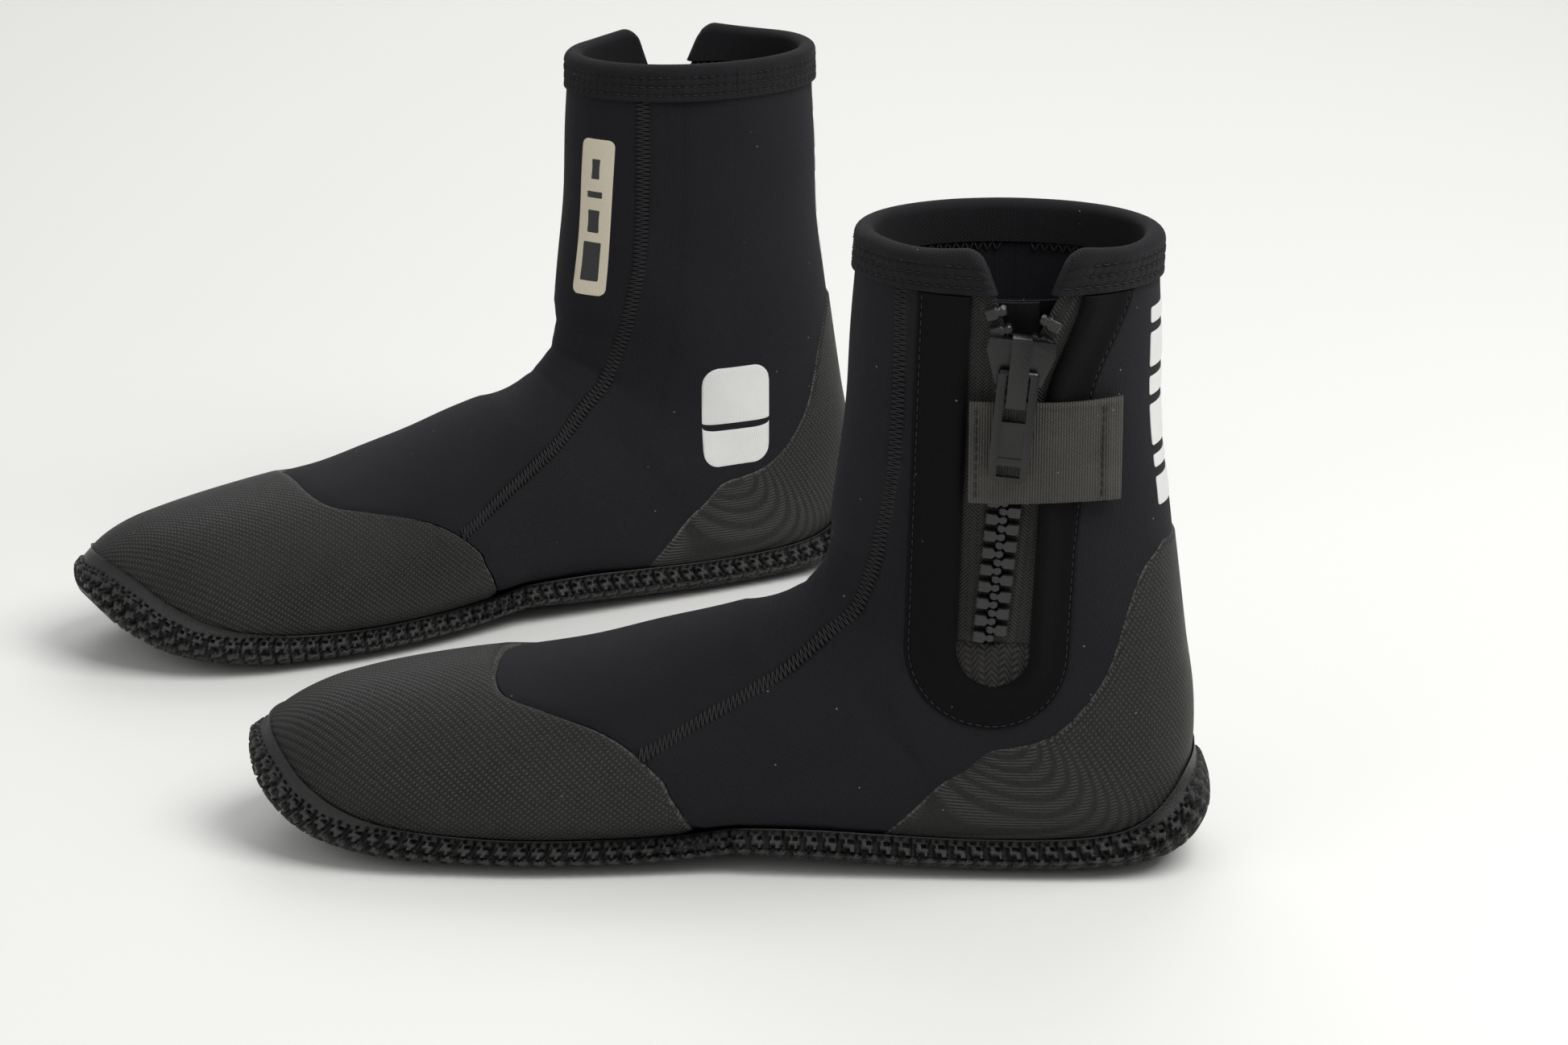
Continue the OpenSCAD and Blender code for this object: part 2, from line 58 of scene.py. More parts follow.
upper = {
    "length": 290.0, "height": 204.5, "pivot": (135.0, 110.0), "noseHeight": 32.0, "floor": 7.0,
    "top": [[135, 79], [165, 69.5], [195, 61.5], [225, 57], [250, 52.5], [272, 47.5], [290, 44]],
    "bottom": [[135, 11], [165, 8], [200, 7], [235, 7.5], [255, 10], [272, 14.5], [290, 19]],
    "width": [[135, 38], [165, 43], [200, 46.5], [230, 45.5], [290, 45.5]],
    "bend": [[135, 0], [200, -1.5], [250, 0], [290, 5]],
    "instep": [[0, 31], [45, 30.2], [90, 27.5]],
    "heel": [[45, -8], [60, -9], [68, -8.5], [75, -5.5], [90, -0.5]],
    "fanWidth": [[0, 38], [45, 35.6], [61, 34.4], [90, 35.3]],
    "shin": [[110, 107.5], [130, 105], [155, 102.5], [204.5, 99.5]],
    "calf": [[110, -0.5], [140, 3], [170, 4.5], [204.5, 5]],
    "shaftWidth": (35.3, 37.7),
    "waist": [[0, 0.3], [1, 0.35], [1.5, 0.44], [2, 0.5], [3, 0.5]],
    "square": [[0, 3.2], [1, 4], [1.5, 4], [1.68, 3], [2, 2.3], [3, 2.1]],
}
pivotX, pivotZ = upper["pivot"]
footRun = upper["length"] - pivotX
shaftRun = upper["height"] - pivotZ


def curve(points, x):
    # cubic through the points, its slope at each that of the chord between its neighbours, flat past the ends
    k = np.asarray(points, float)
    x = np.asarray(x, float)
    chord = (k[2:, 1] - k[:-2, 1]) / (k[2:, 0] - k[:-2, 0])
    first, last = [(k[i + 1, 1] - k[i, 1]) / (k[i + 1, 0] - k[i, 0]) for i in (0, len(k) - 2)]
    slope = np.concatenate([[first], chord, [last]])
    i = np.clip(np.searchsorted(k[:, 0], x, side="right") - 1, 0, len(k) - 2)
    run = k[i + 1, 0] - k[i, 0]
    t = np.clip((x - k[i, 0]) / run, 0, 1)
    return ((2 * t**3 - 3 * t**2 + 1) * k[i, 1] + (t**3 - 2 * t**2 + t) * slope[i] * run
            + (3 * t**2 - 2 * t**3) * k[i + 1, 1] + (t**3 - t**2) * slope[i + 1] * run)


def blendStep(t):
    # 3t^2 - 2t^3 between 0 and 1
    t = np.clip(t, 0, 1)
    return t * t * (3 - 2 * t)


def bell(x, width):
    # e to the power of -(x / width)^2
    return np.exp(-((x / width) ** 2))


def closing(x, start):
    # quarter ellipse: 1 up to the start, 0 at the toe tip
    t = (x - start) / (upper["length"] - start)
    return np.where(x <= start, 1, np.sqrt(np.maximum(0, 1 - t * t)))


def heelReach(angle, under):
    # distance from the pivot to the floor line and the back line, both moved out by under, joined by
    # a power mean
    r = np.radians(angle)
    down = (pivotZ - (11 - 4 * np.clip(angle / 35, 0, 1)) + under) / np.maximum(1e-6, np.cos(r))
    back = (pivotX - curve(upper["heel"], angle) + under) / np.maximum(0.02, np.sin(r))
    return (down**-10 + back**-10) ** -0.1


def section(q, side, under):
    # top point, bottom point, half width and middle of the section at q, grown by side and under
    q = np.asarray(q, float)
    c = np.cos(np.radians(90 * q))
    x = pivotX + footRun * c
    tall, wide = closing(x, upper["length"] - 26), closing(x, upper["length"] - 65)
    px = pivotX + (footRun + side) * c
    nose = upper["noseHeight"]
    low = np.maximum(upper["floor"], curve(upper["bottom"], x))
    footTop = np.stack([px, nose + tall * (curve(upper["top"], x) - nose + side)], -1)
    footLow = np.stack([px, nose - tall * (nose - low + under)], -1)
    a = np.clip(90 * (q - 1), 0, 90)
    ray = np.stack([np.sin(np.radians(a)), np.cos(np.radians(a))], -1)
    fanTop = np.array(upper["pivot"]) - (curve(upper["instep"], a) - side)[..., None] * ray
    fanLow = np.array(upper["pivot"]) - heelReach(a, under)[..., None] * ray
    z = pivotZ + shaftRun * (q - 2)
    shaftTop = np.stack([curve(upper["shin"], z) + side, z], -1)
    shaftLow = np.stack([curve(upper["calf"], z) - under, z], -1)
    narrow, broad = upper["shaftWidth"]
    width = np.where(q < 1, wide * (curve(upper["width"], x) + side), np.where(
        q < 2, curve(upper["fanWidth"], a) + side, narrow + (broad - narrow) * (q - 2) + side))
    foot, fan = (q < 1)[..., None], (q < 2)[..., None]
    top = np.where(foot, footTop, np.where(fan, fanTop, shaftTop))
    bottom = np.where(foot, footLow, np.where(fan, fanLow, shaftLow))
    return top, bottom, width, np.where(q < 1, curve(upper["bend"], x), 0)


def skin(q, angle, side, under=None):
    # point of the upper: an ellipse above its waist and a squarer superellipse below it
    under = side if under is None else under
    q, angle, side, under = np.broadcast_arrays(*[np.asarray(v, float) for v in (q, angle, side, under)])
    top, bottom, width, middle = section(q, side, under)
    k, p = curve(upper["waist"], q), 2 / curve(upper["square"], q)
    co, si = np.cos(np.radians(angle)), np.sin(np.radians(angle))
    h = np.where(co >= 0, k + (1 - k) * co, k - k * np.abs(co) ** p)
    y = width * np.where(co >= 0, np.abs(si), np.abs(si) ** p) * np.sign(si)
    flat = bottom + (top - bottom) * h[..., None]
    return np.stack([flat[..., 0], y + middle, flat[..., 1]], -1)


def widthAt(x, z, side, under=None):
    # half width, middle and height share of the section that passes through x and z
    under = side if under is None else under
    x, z, side = np.broadcast_arrays(*[np.asarray(v, float) for v in (x, z, side)])
    toe = np.degrees(np.arccos(np.clip((x - pivotX) / (footRun + side), 0, 1))) / 90
    fan = 1 + np.clip(np.degrees(np.arctan2(pivotX - x, pivotZ - z)), 0, 90) / 90
    q = np.where(z >= pivotZ, 2 + (z - pivotZ) / shaftRun, np.where(x >= pivotX, toe, fan))
    top, bottom, width, middle = section(q, side, under)
    k, n = curve(upper["waist"], q), curve(upper["square"], q)
    span = top - bottom
    h = ((np.stack([x, z], -1) - bottom) * span).sum(-1) / np.maximum(1e-9, (span * span).sum(-1))
    t = np.where(h > k, (np.abs(h - k) / (1 - k)) ** 2, (np.abs(k - h) / k) ** n)
    return width * np.maximum(0, 1 - t) ** np.where(h > k, 0.5, 1 / n), middle, h


def sidePoint(x, z, d, sign=1):
    # point of the inner side (sign 1) or outer side (sign -1) at x and z, moved outward by d
    x, z, d = np.broadcast_arrays(*[np.asarray(v, float) for v in (x, z, d)])
    return np.stack([x, sign * widthAt(x, z, d)[0], z], -1)


def placed(points, side):
    # mirrored for the left boot, turned about the vertical through its heel line, in metres
    b = boots[side]
    a = math.radians(180 + b["turn"])
    p = np.asarray(points, float)
    x, y = p[..., 0], p[..., 1] * b["mirror"]
    return np.stack([b["at"][0] + x * math.cos(a) - y * math.sin(a),
                     b["at"][1] + x * math.sin(a) + y * math.cos(a), p[..., 2]], -1) / 1000


# ---- Seams and edges, as in the CAD ----

qGap, lasted, vampSide, skinOut, hingeX = 0.0013, 152.0, 73.5, -0.8, 51.0
windowLow, windowR = (54.3, 76.0), 11.0


def zigzag(q):
    # angle of the seam between the front panel and a side panel
    return curve([[0.885, 73.5], [1, 60], [1.2, 49], [1.45, 38.5], [1.7, 38], [2, 47], [2.25, 50.5],
                  [3, 47.5]], q)


def toeCapEdge(angle):
    # q of the toe cap's edge at an angle
    x = curve([[0, 214], [20, 213], [33, 208], [43, 196], [60, 176], [80, 161], [100, 152],
               [152, 147]], np.abs(angle))
    return np.degrees(np.arccos((x - pivotX) / footRun)) / 90


def counterEdge(q):
    # angle of the heel counter's edge
    return curve([[1.26, 152], [1.32, 119], [1.4, 99], [1.5, 91.5], [1.6, 91.5], [1.7, 102],
                  [1.8, 118], [1.95, 142], [2, 166]], q)


def soleLine(x):
    # height of the sole's upper edge
    return curve([[-12, 38], [-8, 34], [-3, 27], [5, 19], [15, 14.5], [35, 12.5], [60, 12.5], [90, 14],
                  [110, 15], [130, 14.5], [150, 12], [190, 11], [220, 12], [245, 15.5], [260, 20],
                  [272, 27], [280, 34], [286, 38], [290, 38.5]], x)


def windowFront(z):
    # the front edge leans back by 0.028 of the height
    return windowLow[0] + windowR - (z - windowLow[1]) * 0.028


def windowRear(z):
    # the rear edge swings away above the slider, where the tapes part
    return windowLow[0] - windowR - (z - windowLow[1]) * 0.045 - 9 * blendStep((z - 156) / 36)


def chainX(z):
    # the line between the two rows of teeth leans back by 10 in 111 of height
    return 56 - 10 * (z - 74) / 111


def chainY(z):
    # the same line moves outward by 2.6 in 111 of height
    return 34.7 + 2.6 * (z - 74) / 111


def parting(z):
    # the two rows of teeth part above the slider
    return 0.4 * np.maximum(0, z - 168.5)


def cutFront(z):
    # line under the welt that divides the inner side, then level with the window's middle below it
    return np.where(z >= 80, windowFront(z) + 8, np.where(
        z > 57, 54.3 + (z - 57) / 23 * (windowFront(80) + 8 - 54.3), 54.3))


def cutRear(z):
    # the same kind of line behind the window
    return np.where(z >= 80, windowRear(z) - 7, np.where(
        z > 57, 54.3 + (z - 57) / 23 * (windowRear(80) - 7 - 54.3), 54.3))


def angleWhere(q, line):
    # angle at which the section passes the line x = line(z), by halving
    q = np.asarray(q, float)
    low, high = np.full(q.shape, 1.0), np.full(q.shape, 179.9)
    for step in range(26):
        mid = (low + high) / 2
        p = skin(q, mid, 0)
        ahead = p[..., 0] > line(p[..., 2])
        low, high = np.where(ahead, mid, low), np.where(ahead, high, mid)
    return low


def hingeAngle(q):
    # angle at which the section passes the upright line at hingeX
    return angleWhere(q, lambda z: hingeX + 0 * z)


# ---- Meshes ----

def gridFaces(rows, columns, first=0, around=False):
    # quads of a grid of points; around joins its last column to its first
    i, j = np.meshgrid(np.arange(rows - 1), np.arange(columns - (0 if around else 1)), indexing="ij")
    a, b = first + i * columns + j, first + i * columns + (j + 1) % columns
    return np.stack([a, b, b + columns, a + columns], -1).reshape(-1, 4)


def shellFaces(rows, columns):
    # an outer and an inner grid joined round their border
    n = rows * columns
    border = np.concatenate([np.arange(columns), columns * np.arange(1, rows) + columns - 1,
                             (rows - 1) * columns + np.arange(columns - 2, -1, -1),
                             columns * np.arange(rows - 2, 0, -1)])
    after = np.roll(border, -1)
    return np.concatenate([gridFaces(rows, columns), gridFaces(rows, columns, n)[:, ::-1],
                           np.stack([after, border, border + n, after + n], -1)])


def arcs(points):
    # lengths along both directions of a grid of points, from its first row and first column
    down = np.linalg.norm(np.diff(points, axis=0), axis=-1)
    across = np.linalg.norm(np.diff(points, axis=1), axis=-1)
    return (np.concatenate([np.zeros((1, points.shape[1])), np.cumsum(down, 0)]),
            np.concatenate([np.zeros((points.shape[0], 1)), np.cumsum(across, 1)], 1))


def addMesh(name, side, points, faces, material, uv=None, edge=None, smooth=True):
    # a mesh from arrays of points in millimetres and faces, turned right side out by its signed volume
    co = placed(np.asarray(points).reshape(-1, 3), side)
    faces = faces if isinstance(faces, list) else [faces]
    volume = 0
    for f in faces:
        for k in range(1, f.shape[1] - 1):
            volume += np.einsum("ij,ij->", co[f[:, 0]], np.cross(co[f[:, k]], co[f[:, k + 1]]))
    if volume < 0:
        faces = [f[:, ::-1] for f in faces]
    mesh = bpy.data.meshes.new(name)
    mesh.from_pydata(co.tolist(), [], [row for f in faces for row in f.tolist()])
    mesh.polygons.foreach_set("use_smooth", np.full(len(mesh.polygons), smooth))
    if uv is not None:
        loops = np.zeros(len(mesh.loops), np.int32)
        mesh.loops.foreach_get("vertex_index", loops)
        layer = mesh.uv_layers.new(name="UVMap")
        layer.data.foreach_set("uv", np.asarray(uv, np.float32).reshape(-1, 2)[loops].ravel())
    if edge is not None:
        mark = mesh.attributes.new("edge", "FLOAT", "POINT")
        mark.data.foreach_set("value", np.asarray(edge, np.float32).ravel())
    mesh.update()
    if smooth:
        mesh.set_sharp_from_angle(angle=math.radians(65))
    mesh.materials.append(materials[material])
    made = bpy.data.objects.new(name, mesh)
    bpy.context.scene.collection.objects.link(made)
    return made


def attach(piece, side, half, slot, *nodes):
    # on the foot, or, for one half of the shaft, baked in place where it stands; stands for the CAD nodes
    if half:
        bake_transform(piece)
    else:
        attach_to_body(piece, side + "_foot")
    if nodes:
        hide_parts(*[side + "_" + n for n in nodes])
    return piece


def shell(name, side, place, rows, columns, out, inner, material, seams="", dip=(0.55, 1.7),
          middle=0, relief=None, level=None, upright=False):
    # place(u, v, d) gives the sheet's points; out and inner are its two offsets. Edges named in
    # seams (t, b, l, r) dip by dip[0] over dip[1] millimetres, as sewn or glued edges do
    t = np.linspace(0, 1, rows)[:, None]
    s = np.linspace(0, 1, columns)[None, :]
    u = t + 0 * s
    v = (s + (1 - np.cos(np.pi * s)) / 2) / 2 + 0 * t
    base = place(u, v, out + 0 * u)
    down, across = arcs(base)
    away = np.full(u.shape, 99.0)
    for mark, length in (("t", down), ("b", down[-1:] - down), ("l", across), ("r", across[:, -1:] - across)):
        if mark in seams:
            away = np.minimum(away, length)
    d = out - dip[0] * bell(away, dip[1])
    if relief:
        d = d + relief(base, down, across)
    outer = place(u, v, d)
    under = place(u, v, inner + 0 * u)
    column = int(middle * (columns - 1))
    if level:
        # a moulded pattern keeps its pitch: measured across only along the two axes in level
        run = np.linalg.norm(np.diff(base[..., level], axis=1), axis=-1)
        across = np.concatenate([np.zeros((rows, 1)), np.cumsum(run, 1)], 1)
    flat = np.stack([across - across[:, column:column + 1], base[..., 2] if upright else down], -1) / 1000
    points = np.concatenate([outer.reshape(-1, 3), under.reshape(-1, 3)])
    uv = np.concatenate([flat.reshape(-1, 2)] * 2)
    edge = np.tile(np.clip(away / 10, 0, 1).ravel(), 2)
    return addMesh(name, side, points, shellFaces(rows, columns), material, uv, edge)


def tubes(paths, normals, radii, sides=6):
    # tubes round many paths at once: rings in the plane of the normal and the side direction
    paths = np.asarray(paths, float)
    count, steps = paths.shape[:2]
    along = np.gradient(paths, axis=1)
    along /= np.linalg.norm(along, axis=-1, keepdims=True) + 1e-12
    across = np.cross(along, normals)
    across /= np.linalg.norm(across, axis=-1, keepdims=True) + 1e-12
    lift = np.cross(across, along)
    turn = np.linspace(0, 2 * np.pi, sides, endpoint=False)
    ring = (np.cos(turn)[:, None] * lift[:, :, None] + np.sin(turn)[:, None] * across[:, :, None])
    points = paths[:, :, None] + ring * np.broadcast_to(radii, (count, steps))[:, :, None, None]
    block = gridFaces(steps, sides, 0, True)
    start = np.arange(count)[:, None, None] * steps * sides
    ends = np.stack([np.arange(sides)[::-1], (steps - 1) * sides + np.arange(sides)])
    return points.reshape(-1, 3), [(block + start).reshape(-1, 4), (ends + start).reshape(-1, sides)]


def resample(path, at):
    # the path's values at distances at from its start
    far = np.concatenate([[0], np.cumsum(np.linalg.norm(np.diff(path[:, :3], axis=0), axis=-1))])
    return np.stack([np.interp(at, far, path[:, k]) for k in range(path.shape[1])], -1), far[-1]


def stitches(name, side, path, normal, material, length=2.5, pitch=3.2, radius=0.27):
    # short arched threads in a row along a path
    both = np.concatenate([path, normal], 1)
    total = resample(both, 0)[1]
    starts = np.arange(0.5, total - length, pitch)
    share = np.array([0, 0.18, 0.5, 0.82, 1])
    lift = np.array([-0.3, 0.14, 0.24, 0.14, -0.3])
    at = starts[:, None] + length * share
    got = resample(both, at.ravel())[0].reshape(len(starts), 5, 6)
    up = got[..., 3:] / np.linalg.norm(got[..., 3:], axis=-1, keepdims=True)
    points, faces = tubes(got[..., :3] + up * lift[:, None], up, radius * np.array([0.5, 1, 1.1, 1, 0.5]))
    return addMesh(name, side, points, faces, material)


def ladder(name, side, place, total, material, half=2.7, pitch=1.65, radius=0.3):
    # one thread that runs to and fro across a seam; place(s, w, d) is the point at s along and w across
    turns = int(total / pitch)
    s = np.arange(turns * 8 + 1) / 8 * pitch
    wave = 2 * np.abs(2 * ((s / pitch) % 1) - 1) - 1
    reach = half * (1 + 0.1 * np.interp(s, np.arange(turns + 2) * pitch, rng.uniform(-1, 1, turns + 2)))
    w = np.clip(wave * 1.25, -1, 1) * reach
    high = 0.5 * (1 - (w / half) ** 2 * 0.7) + 0.12 * np.abs(w / half)
    path, up = place(s, w, high), place(s, w, high + 1)
    points, faces = tubes(path[None], (up - path)[None], radius)
    return addMesh(name, side, points, faces, material)


# ---- Materials ----

def addNode(tree, kind, values=None, **settings):
    # a node; in values a socket is linked to the input and anything else is its value
    node = tree.nodes.new(kind)
    for key, value in settings.items():
        setattr(node, key, value)
    for key, value in (values or {}).items():
        if isinstance(value, bpy.types.NodeSocket):
            tree.links.new(value, node.inputs[key])
        else:
            node.inputs[key].default_value = value
    return node


def calc(tree, operation, first, second=0.0, third=0.0, clamp=False):
    # the result of one math node
    return addNode(tree, "ShaderNodeMath", {0: first, 1: second, 2: third}, operation=operation,
                   use_clamp=clamp).outputs[0]


def startGroup(name, numbers, outputs=("Height",)):
    # a node group with a vector and named numbers in, and named numbers out
    group = bpy.data.node_groups.new(name, "ShaderNodeTree")
    group.interface.new_socket("Vector", in_out="INPUT", socket_type="NodeSocketVector")
    for label in numbers:
        group.interface.new_socket(label, in_out="INPUT", socket_type="NodeSocketFloat")
    for label in outputs:
        group.interface.new_socket(label, in_out="OUTPUT", socket_type="NodeSocketFloat")
    return group, group.nodes.new("NodeGroupInput").outputs, group.nodes.new("NodeGroupOutput").inputs


def splitVector(tree, vector, pitch):
    # the two flat coordinates counted in pitches
    parts = addNode(tree, "ShaderNodeSeparateXYZ", {0: vector})
    return calc(tree, "DIVIDE", parts.outputs[0], pitch), calc(tree, "DIVIDE", parts.outputs[1], pitch)


def wave(tree, value):
    # |sin(pi value)|, one hump for each whole number
    return calc(tree, "ABSOLUTE", calc(tree, "SINE", calc(tree, "MULTIPLY", value, math.pi)))


def fromMiddle(tree, value):
    # how far the fraction of a value is from one half
    return calc(tree, "ABSOLUTE", calc(tree, "SUBTRACT", calc(tree, "FRACT", value), 0.5))


def knitGroup():
    # small loops: columns of humps, each hump a shallow v
    group, enter, leave = startGroup("knit", ["Pitch"])
    x, y = splitVector(group, enter[0], enter[1])
    column = wave(group, x)
    slant = calc(group, "MULTIPLY_ADD", column, 0.45, y)
    loop = calc(group, "MULTIPLY_ADD", wave(group, slant), 0.6, 0.4)
    group.links.new(calc(group, "MULTIPLY", column, loop), leave[0])
    return group


def studGroup():
    # low pyramids on a staggered lattice: the nearer of two offset grids
    group, enter, leave = startGroup("studs", ["Pitch"])
    x, y = splitVector(group, enter[0], enter[1])
    heights = []
    for shift in (0.0, 0.5):
        dx = fromMiddle(group, calc(group, "ADD", x, shift))
        dy = fromMiddle(group, calc(group, "MULTIPLY_ADD", y, 0.8, shift))
        away = calc(group, "MULTIPLY", calc(group, "ADD", dx, dy), 2.75)
        heights.append(calc(group, "SUBTRACT", 1.0, away, clamp=True))
    group.links.new(calc(group, "MAXIMUM", *heights), leave[0])
    return group


def twillGroup():
    # slanting ridges that turn back every few pitches, as in herringbone tape and braid
    group, enter, leave = startGroup("twill", ["Pitch", "Turn"])
    x, y = splitVector(group, enter[0], enter[1])
    slant = calc(group, "ADD", calc(group, "PINGPONG", x, enter[2]), y)
    ridge = wave(group, slant)
    column = wave(group, calc(group, "DIVIDE", x, enter[2]))
    group.links.new(calc(group, "MULTIPLY", ridge, calc(group, "MULTIPLY_ADD", column, 0.5, 0.5)), leave[0])
    return group


def ribGroup():
    # upright ribs, each crossed by fine picks
    group, enter, leave = startGroup("ribs", ["Pitch", "Turn"])
    x, y = splitVector(group, enter[0], enter[1])
    along = calc(group, "MULTIPLY", y, enter[2])
    picks = wave(group, calc(group, "MULTIPLY_ADD", calc(group, "FLOOR", x), 0.5, along))
    crossed = calc(group, "MULTIPLY_ADD", picks, 0.55, 0.45)
    group.links.new(calc(group, "MULTIPLY", wave(group, x), crossed), leave[0])
    return group


def grainGroup():
    # two noises: a broad one for uneven tone and a fine one for the surface
    group, enter, leave = startGroup("grain", ["Broad", "Fine"], ["Tone", "Grain"])
    for k in (1, 2):
        noise = addNode(group, "ShaderNodeTexNoise",
                        {"Vector": enter[0], "Scale": enter[k], "Detail": 4.0, "Roughness": 0.6})
        spread = addNode(group, "ShaderNodeMapRange", {0: noise.outputs[0], 1: 0.3, 2: 0.7})
        group.links.new(spread.outputs[0], leave[k - 1])
    return group


def lintGroup():
    # scattered pale specks: the middles of a few cells, chosen by noise
    group, enter, leave = startGroup("lint", ["Scale", "Amount"], ["Specks"])
    cells = addNode(group, "ShaderNodeTexVoronoi", {"Vector": enter[0], "Scale": enter[1]})
    dots = addNode(group, "ShaderNodeMapRange", {0: cells.outputs[0], 1: 0.16, 2: 0.05})
    pick = addNode(group, "ShaderNodeSeparateColor", {0: cells.outputs[1]})
    chosen = calc(group, "LESS_THAN", pick.outputs[0], enter[2])
    group.links.new(calc(group, "MULTIPLY", dots.outputs[0], chosen), leave[0])
    return group


def wearGroup():
    # 1 on the rim of a piece, broken up by noise, falling to 0 within its width
    group, enter, leave = startGroup("wear", ["Edge", "Width"], ["Mask"])
    near = addNode(group, "ShaderNodeMapRange", {0: enter[1], 1: 0.0, 2: enter[2], 3: 1.0, 4: 0.0})
    noise = addNode(group, "ShaderNodeTexNoise", {"Vector": enter[0], "Scale": 900.0, "Detail": 2.0})
    spots = addNode(group, "ShaderNodeMapRange", {0: noise.outputs[0], 1: 0.38, 2: 0.62})
    group.links.new(calc(group, "MULTIPLY", near.outputs[0], spots.outputs[0]), leave[0])
    return group


groups = {"knit": knitGroup(), "studs": studGroup(), "twill": twillGroup(), "ribs": ribGroup(),
          "grain": grainGroup(), "lint": lintGroup(), "wear": wearGroup()}

# what a user would change: two colours, roughness, the relief's kind, pitch and depth in metres;
# a key that is left out takes the default in makeMaterial
finishes = {
    "neoprene": {"dark": (0.003, 0.003, 0.0045), "light": (0.021, 0.021, 0.025), "rough": (0.75, 0.95),
                 "contrast": 0.7, "mottle": 0.25, "relief": "knit", "pitch": 0.00072, "depth": 0.00013,
                 "lint": 0.02, "sheen": 0.03, "gloss": 0.12},
    "welt": {"dark": (0.002, 0.002, 0.0025), "light": (0.008, 0.008, 0.009), "rough": (0.7, 0.95),
             "relief": "knit", "pitch": 0.0006, "depth": 0.00008, "lint": 0.02, "sheen": 0.02, "gloss": 0.07},
    "binding": {"dark": (0.005, 0.005, 0.006), "light": (0.02, 0.02, 0.022), "rough": (0.75, 0.95),
                "relief": "ribs", "pitch": 0.0008, "turn": 0.7, "depth": 0.0002, "lint": 0.025, "sheen": 0.03,
                "gloss": 0.14},
    "gusset": {"dark": (0.003, 0.003, 0.004), "light": (0.012, 0.012, 0.013), "rough": (0.8, 0.95),
               "relief": "twill", "pitch": 0.0009, "turn": 4.0, "depth": 0.0002, "lint": 0.01, "gloss": 0.1},
    # toe cap and heel counter rubber: the studs are painted lighter on their crowns and darker between them,
    # a painted highlight and shade
    "capRubber": {"dark": (0.003, 0.003, 0.0028), "light": (0.075, 0.075, 0.069), "rough": (0.42, 0.58),
                  "contrast": 0.85, "mottle": 0.12, "relief": "studs", "pitch": 0.0019, "depth": 0.0006,
                  "lint": 0.01, "wear": 0.06, "gloss": 0.2},
    "soleRubber": {"dark": (0.002, 0.002, 0.002), "light": (0.04, 0.04, 0.037), "rough": (0.26, 0.5),
                   "depth": 0.0002, "lint": 0.01, "grooveShade": True},
    "foam": {"dark": (0.02, 0.02, 0.02), "light": (0.04, 0.04, 0.04), "rough": (0.8, 0.9),
             "depth": 0.0002, "gloss": 0.2},
    "tape": {"dark": (0.002, 0.002, 0.002), "light": (0.05, 0.05, 0.047), "rough": (0.6, 0.85),
             "contrast": 0.8, "relief": "twill", "pitch": 0.0012, "turn": 2.0, "depth": 0.0005,
             "lint": 0.02, "gloss": 0.2},
    "webbing": {"dark": (0.003, 0.003, 0.003), "light": (0.05, 0.048, 0.042), "rough": (0.45, 0.7),
                "relief": "twill", "pitch": 0.0021, "turn": 1.0, "depth": 0.001, "lint": 0.01, "gloss": 0.25},
    "strap": {"dark": (0.006, 0.006, 0.005), "light": (0.08, 0.076, 0.068), "rough": (0.5, 0.7),
              "contrast": 0.7, "relief": "ribs", "pitch": 0.00085, "turn": 0.8, "depth": 0.0003,
              "lint": 0.02, "gloss": 0.25},
    "thread": {"dark": (0.008, 0.008, 0.008), "light": (0.035, 0.035, 0.034), "rough": (0.5, 0.75),
               "depth": 0.0001, "gloss": 0.25},
    "teeth": {"dark": (0.008, 0.008, 0.008), "light": (0.02, 0.02, 0.02), "rough": (0.22, 0.36),
              "depth": 0.00005},
    "paint": {"dark": (0.008, 0.008, 0.008), "light": (0.018, 0.018, 0.018), "rough": (0.18, 0.32),
              "depth": 0.00004, "lint": 0.004, "metal": 0.35, "gloss": 0.55},
    "labelPrint": {"dark": (0.6, 0.53, 0.4), "light": (0.76, 0.69, 0.55), "rough": (0.5, 0.7),
                   "relief": "knit", "pitch": 0.0009, "depth": 0.00008},
    "labelInk": {"dark": (0.012, 0.012, 0.012), "light": (0.03, 0.03, 0.03), "rough": (0.5, 0.7),
                 "relief": "knit", "pitch": 0.0009, "depth": 0.00008},
    "whitePrint": {"dark": (0.62, 0.62, 0.6), "light": (0.82, 0.82, 0.8), "rough": (0.5, 0.7),
                   "relief": "knit", "pitch": 0.0009, "depth": 0.00008},
}


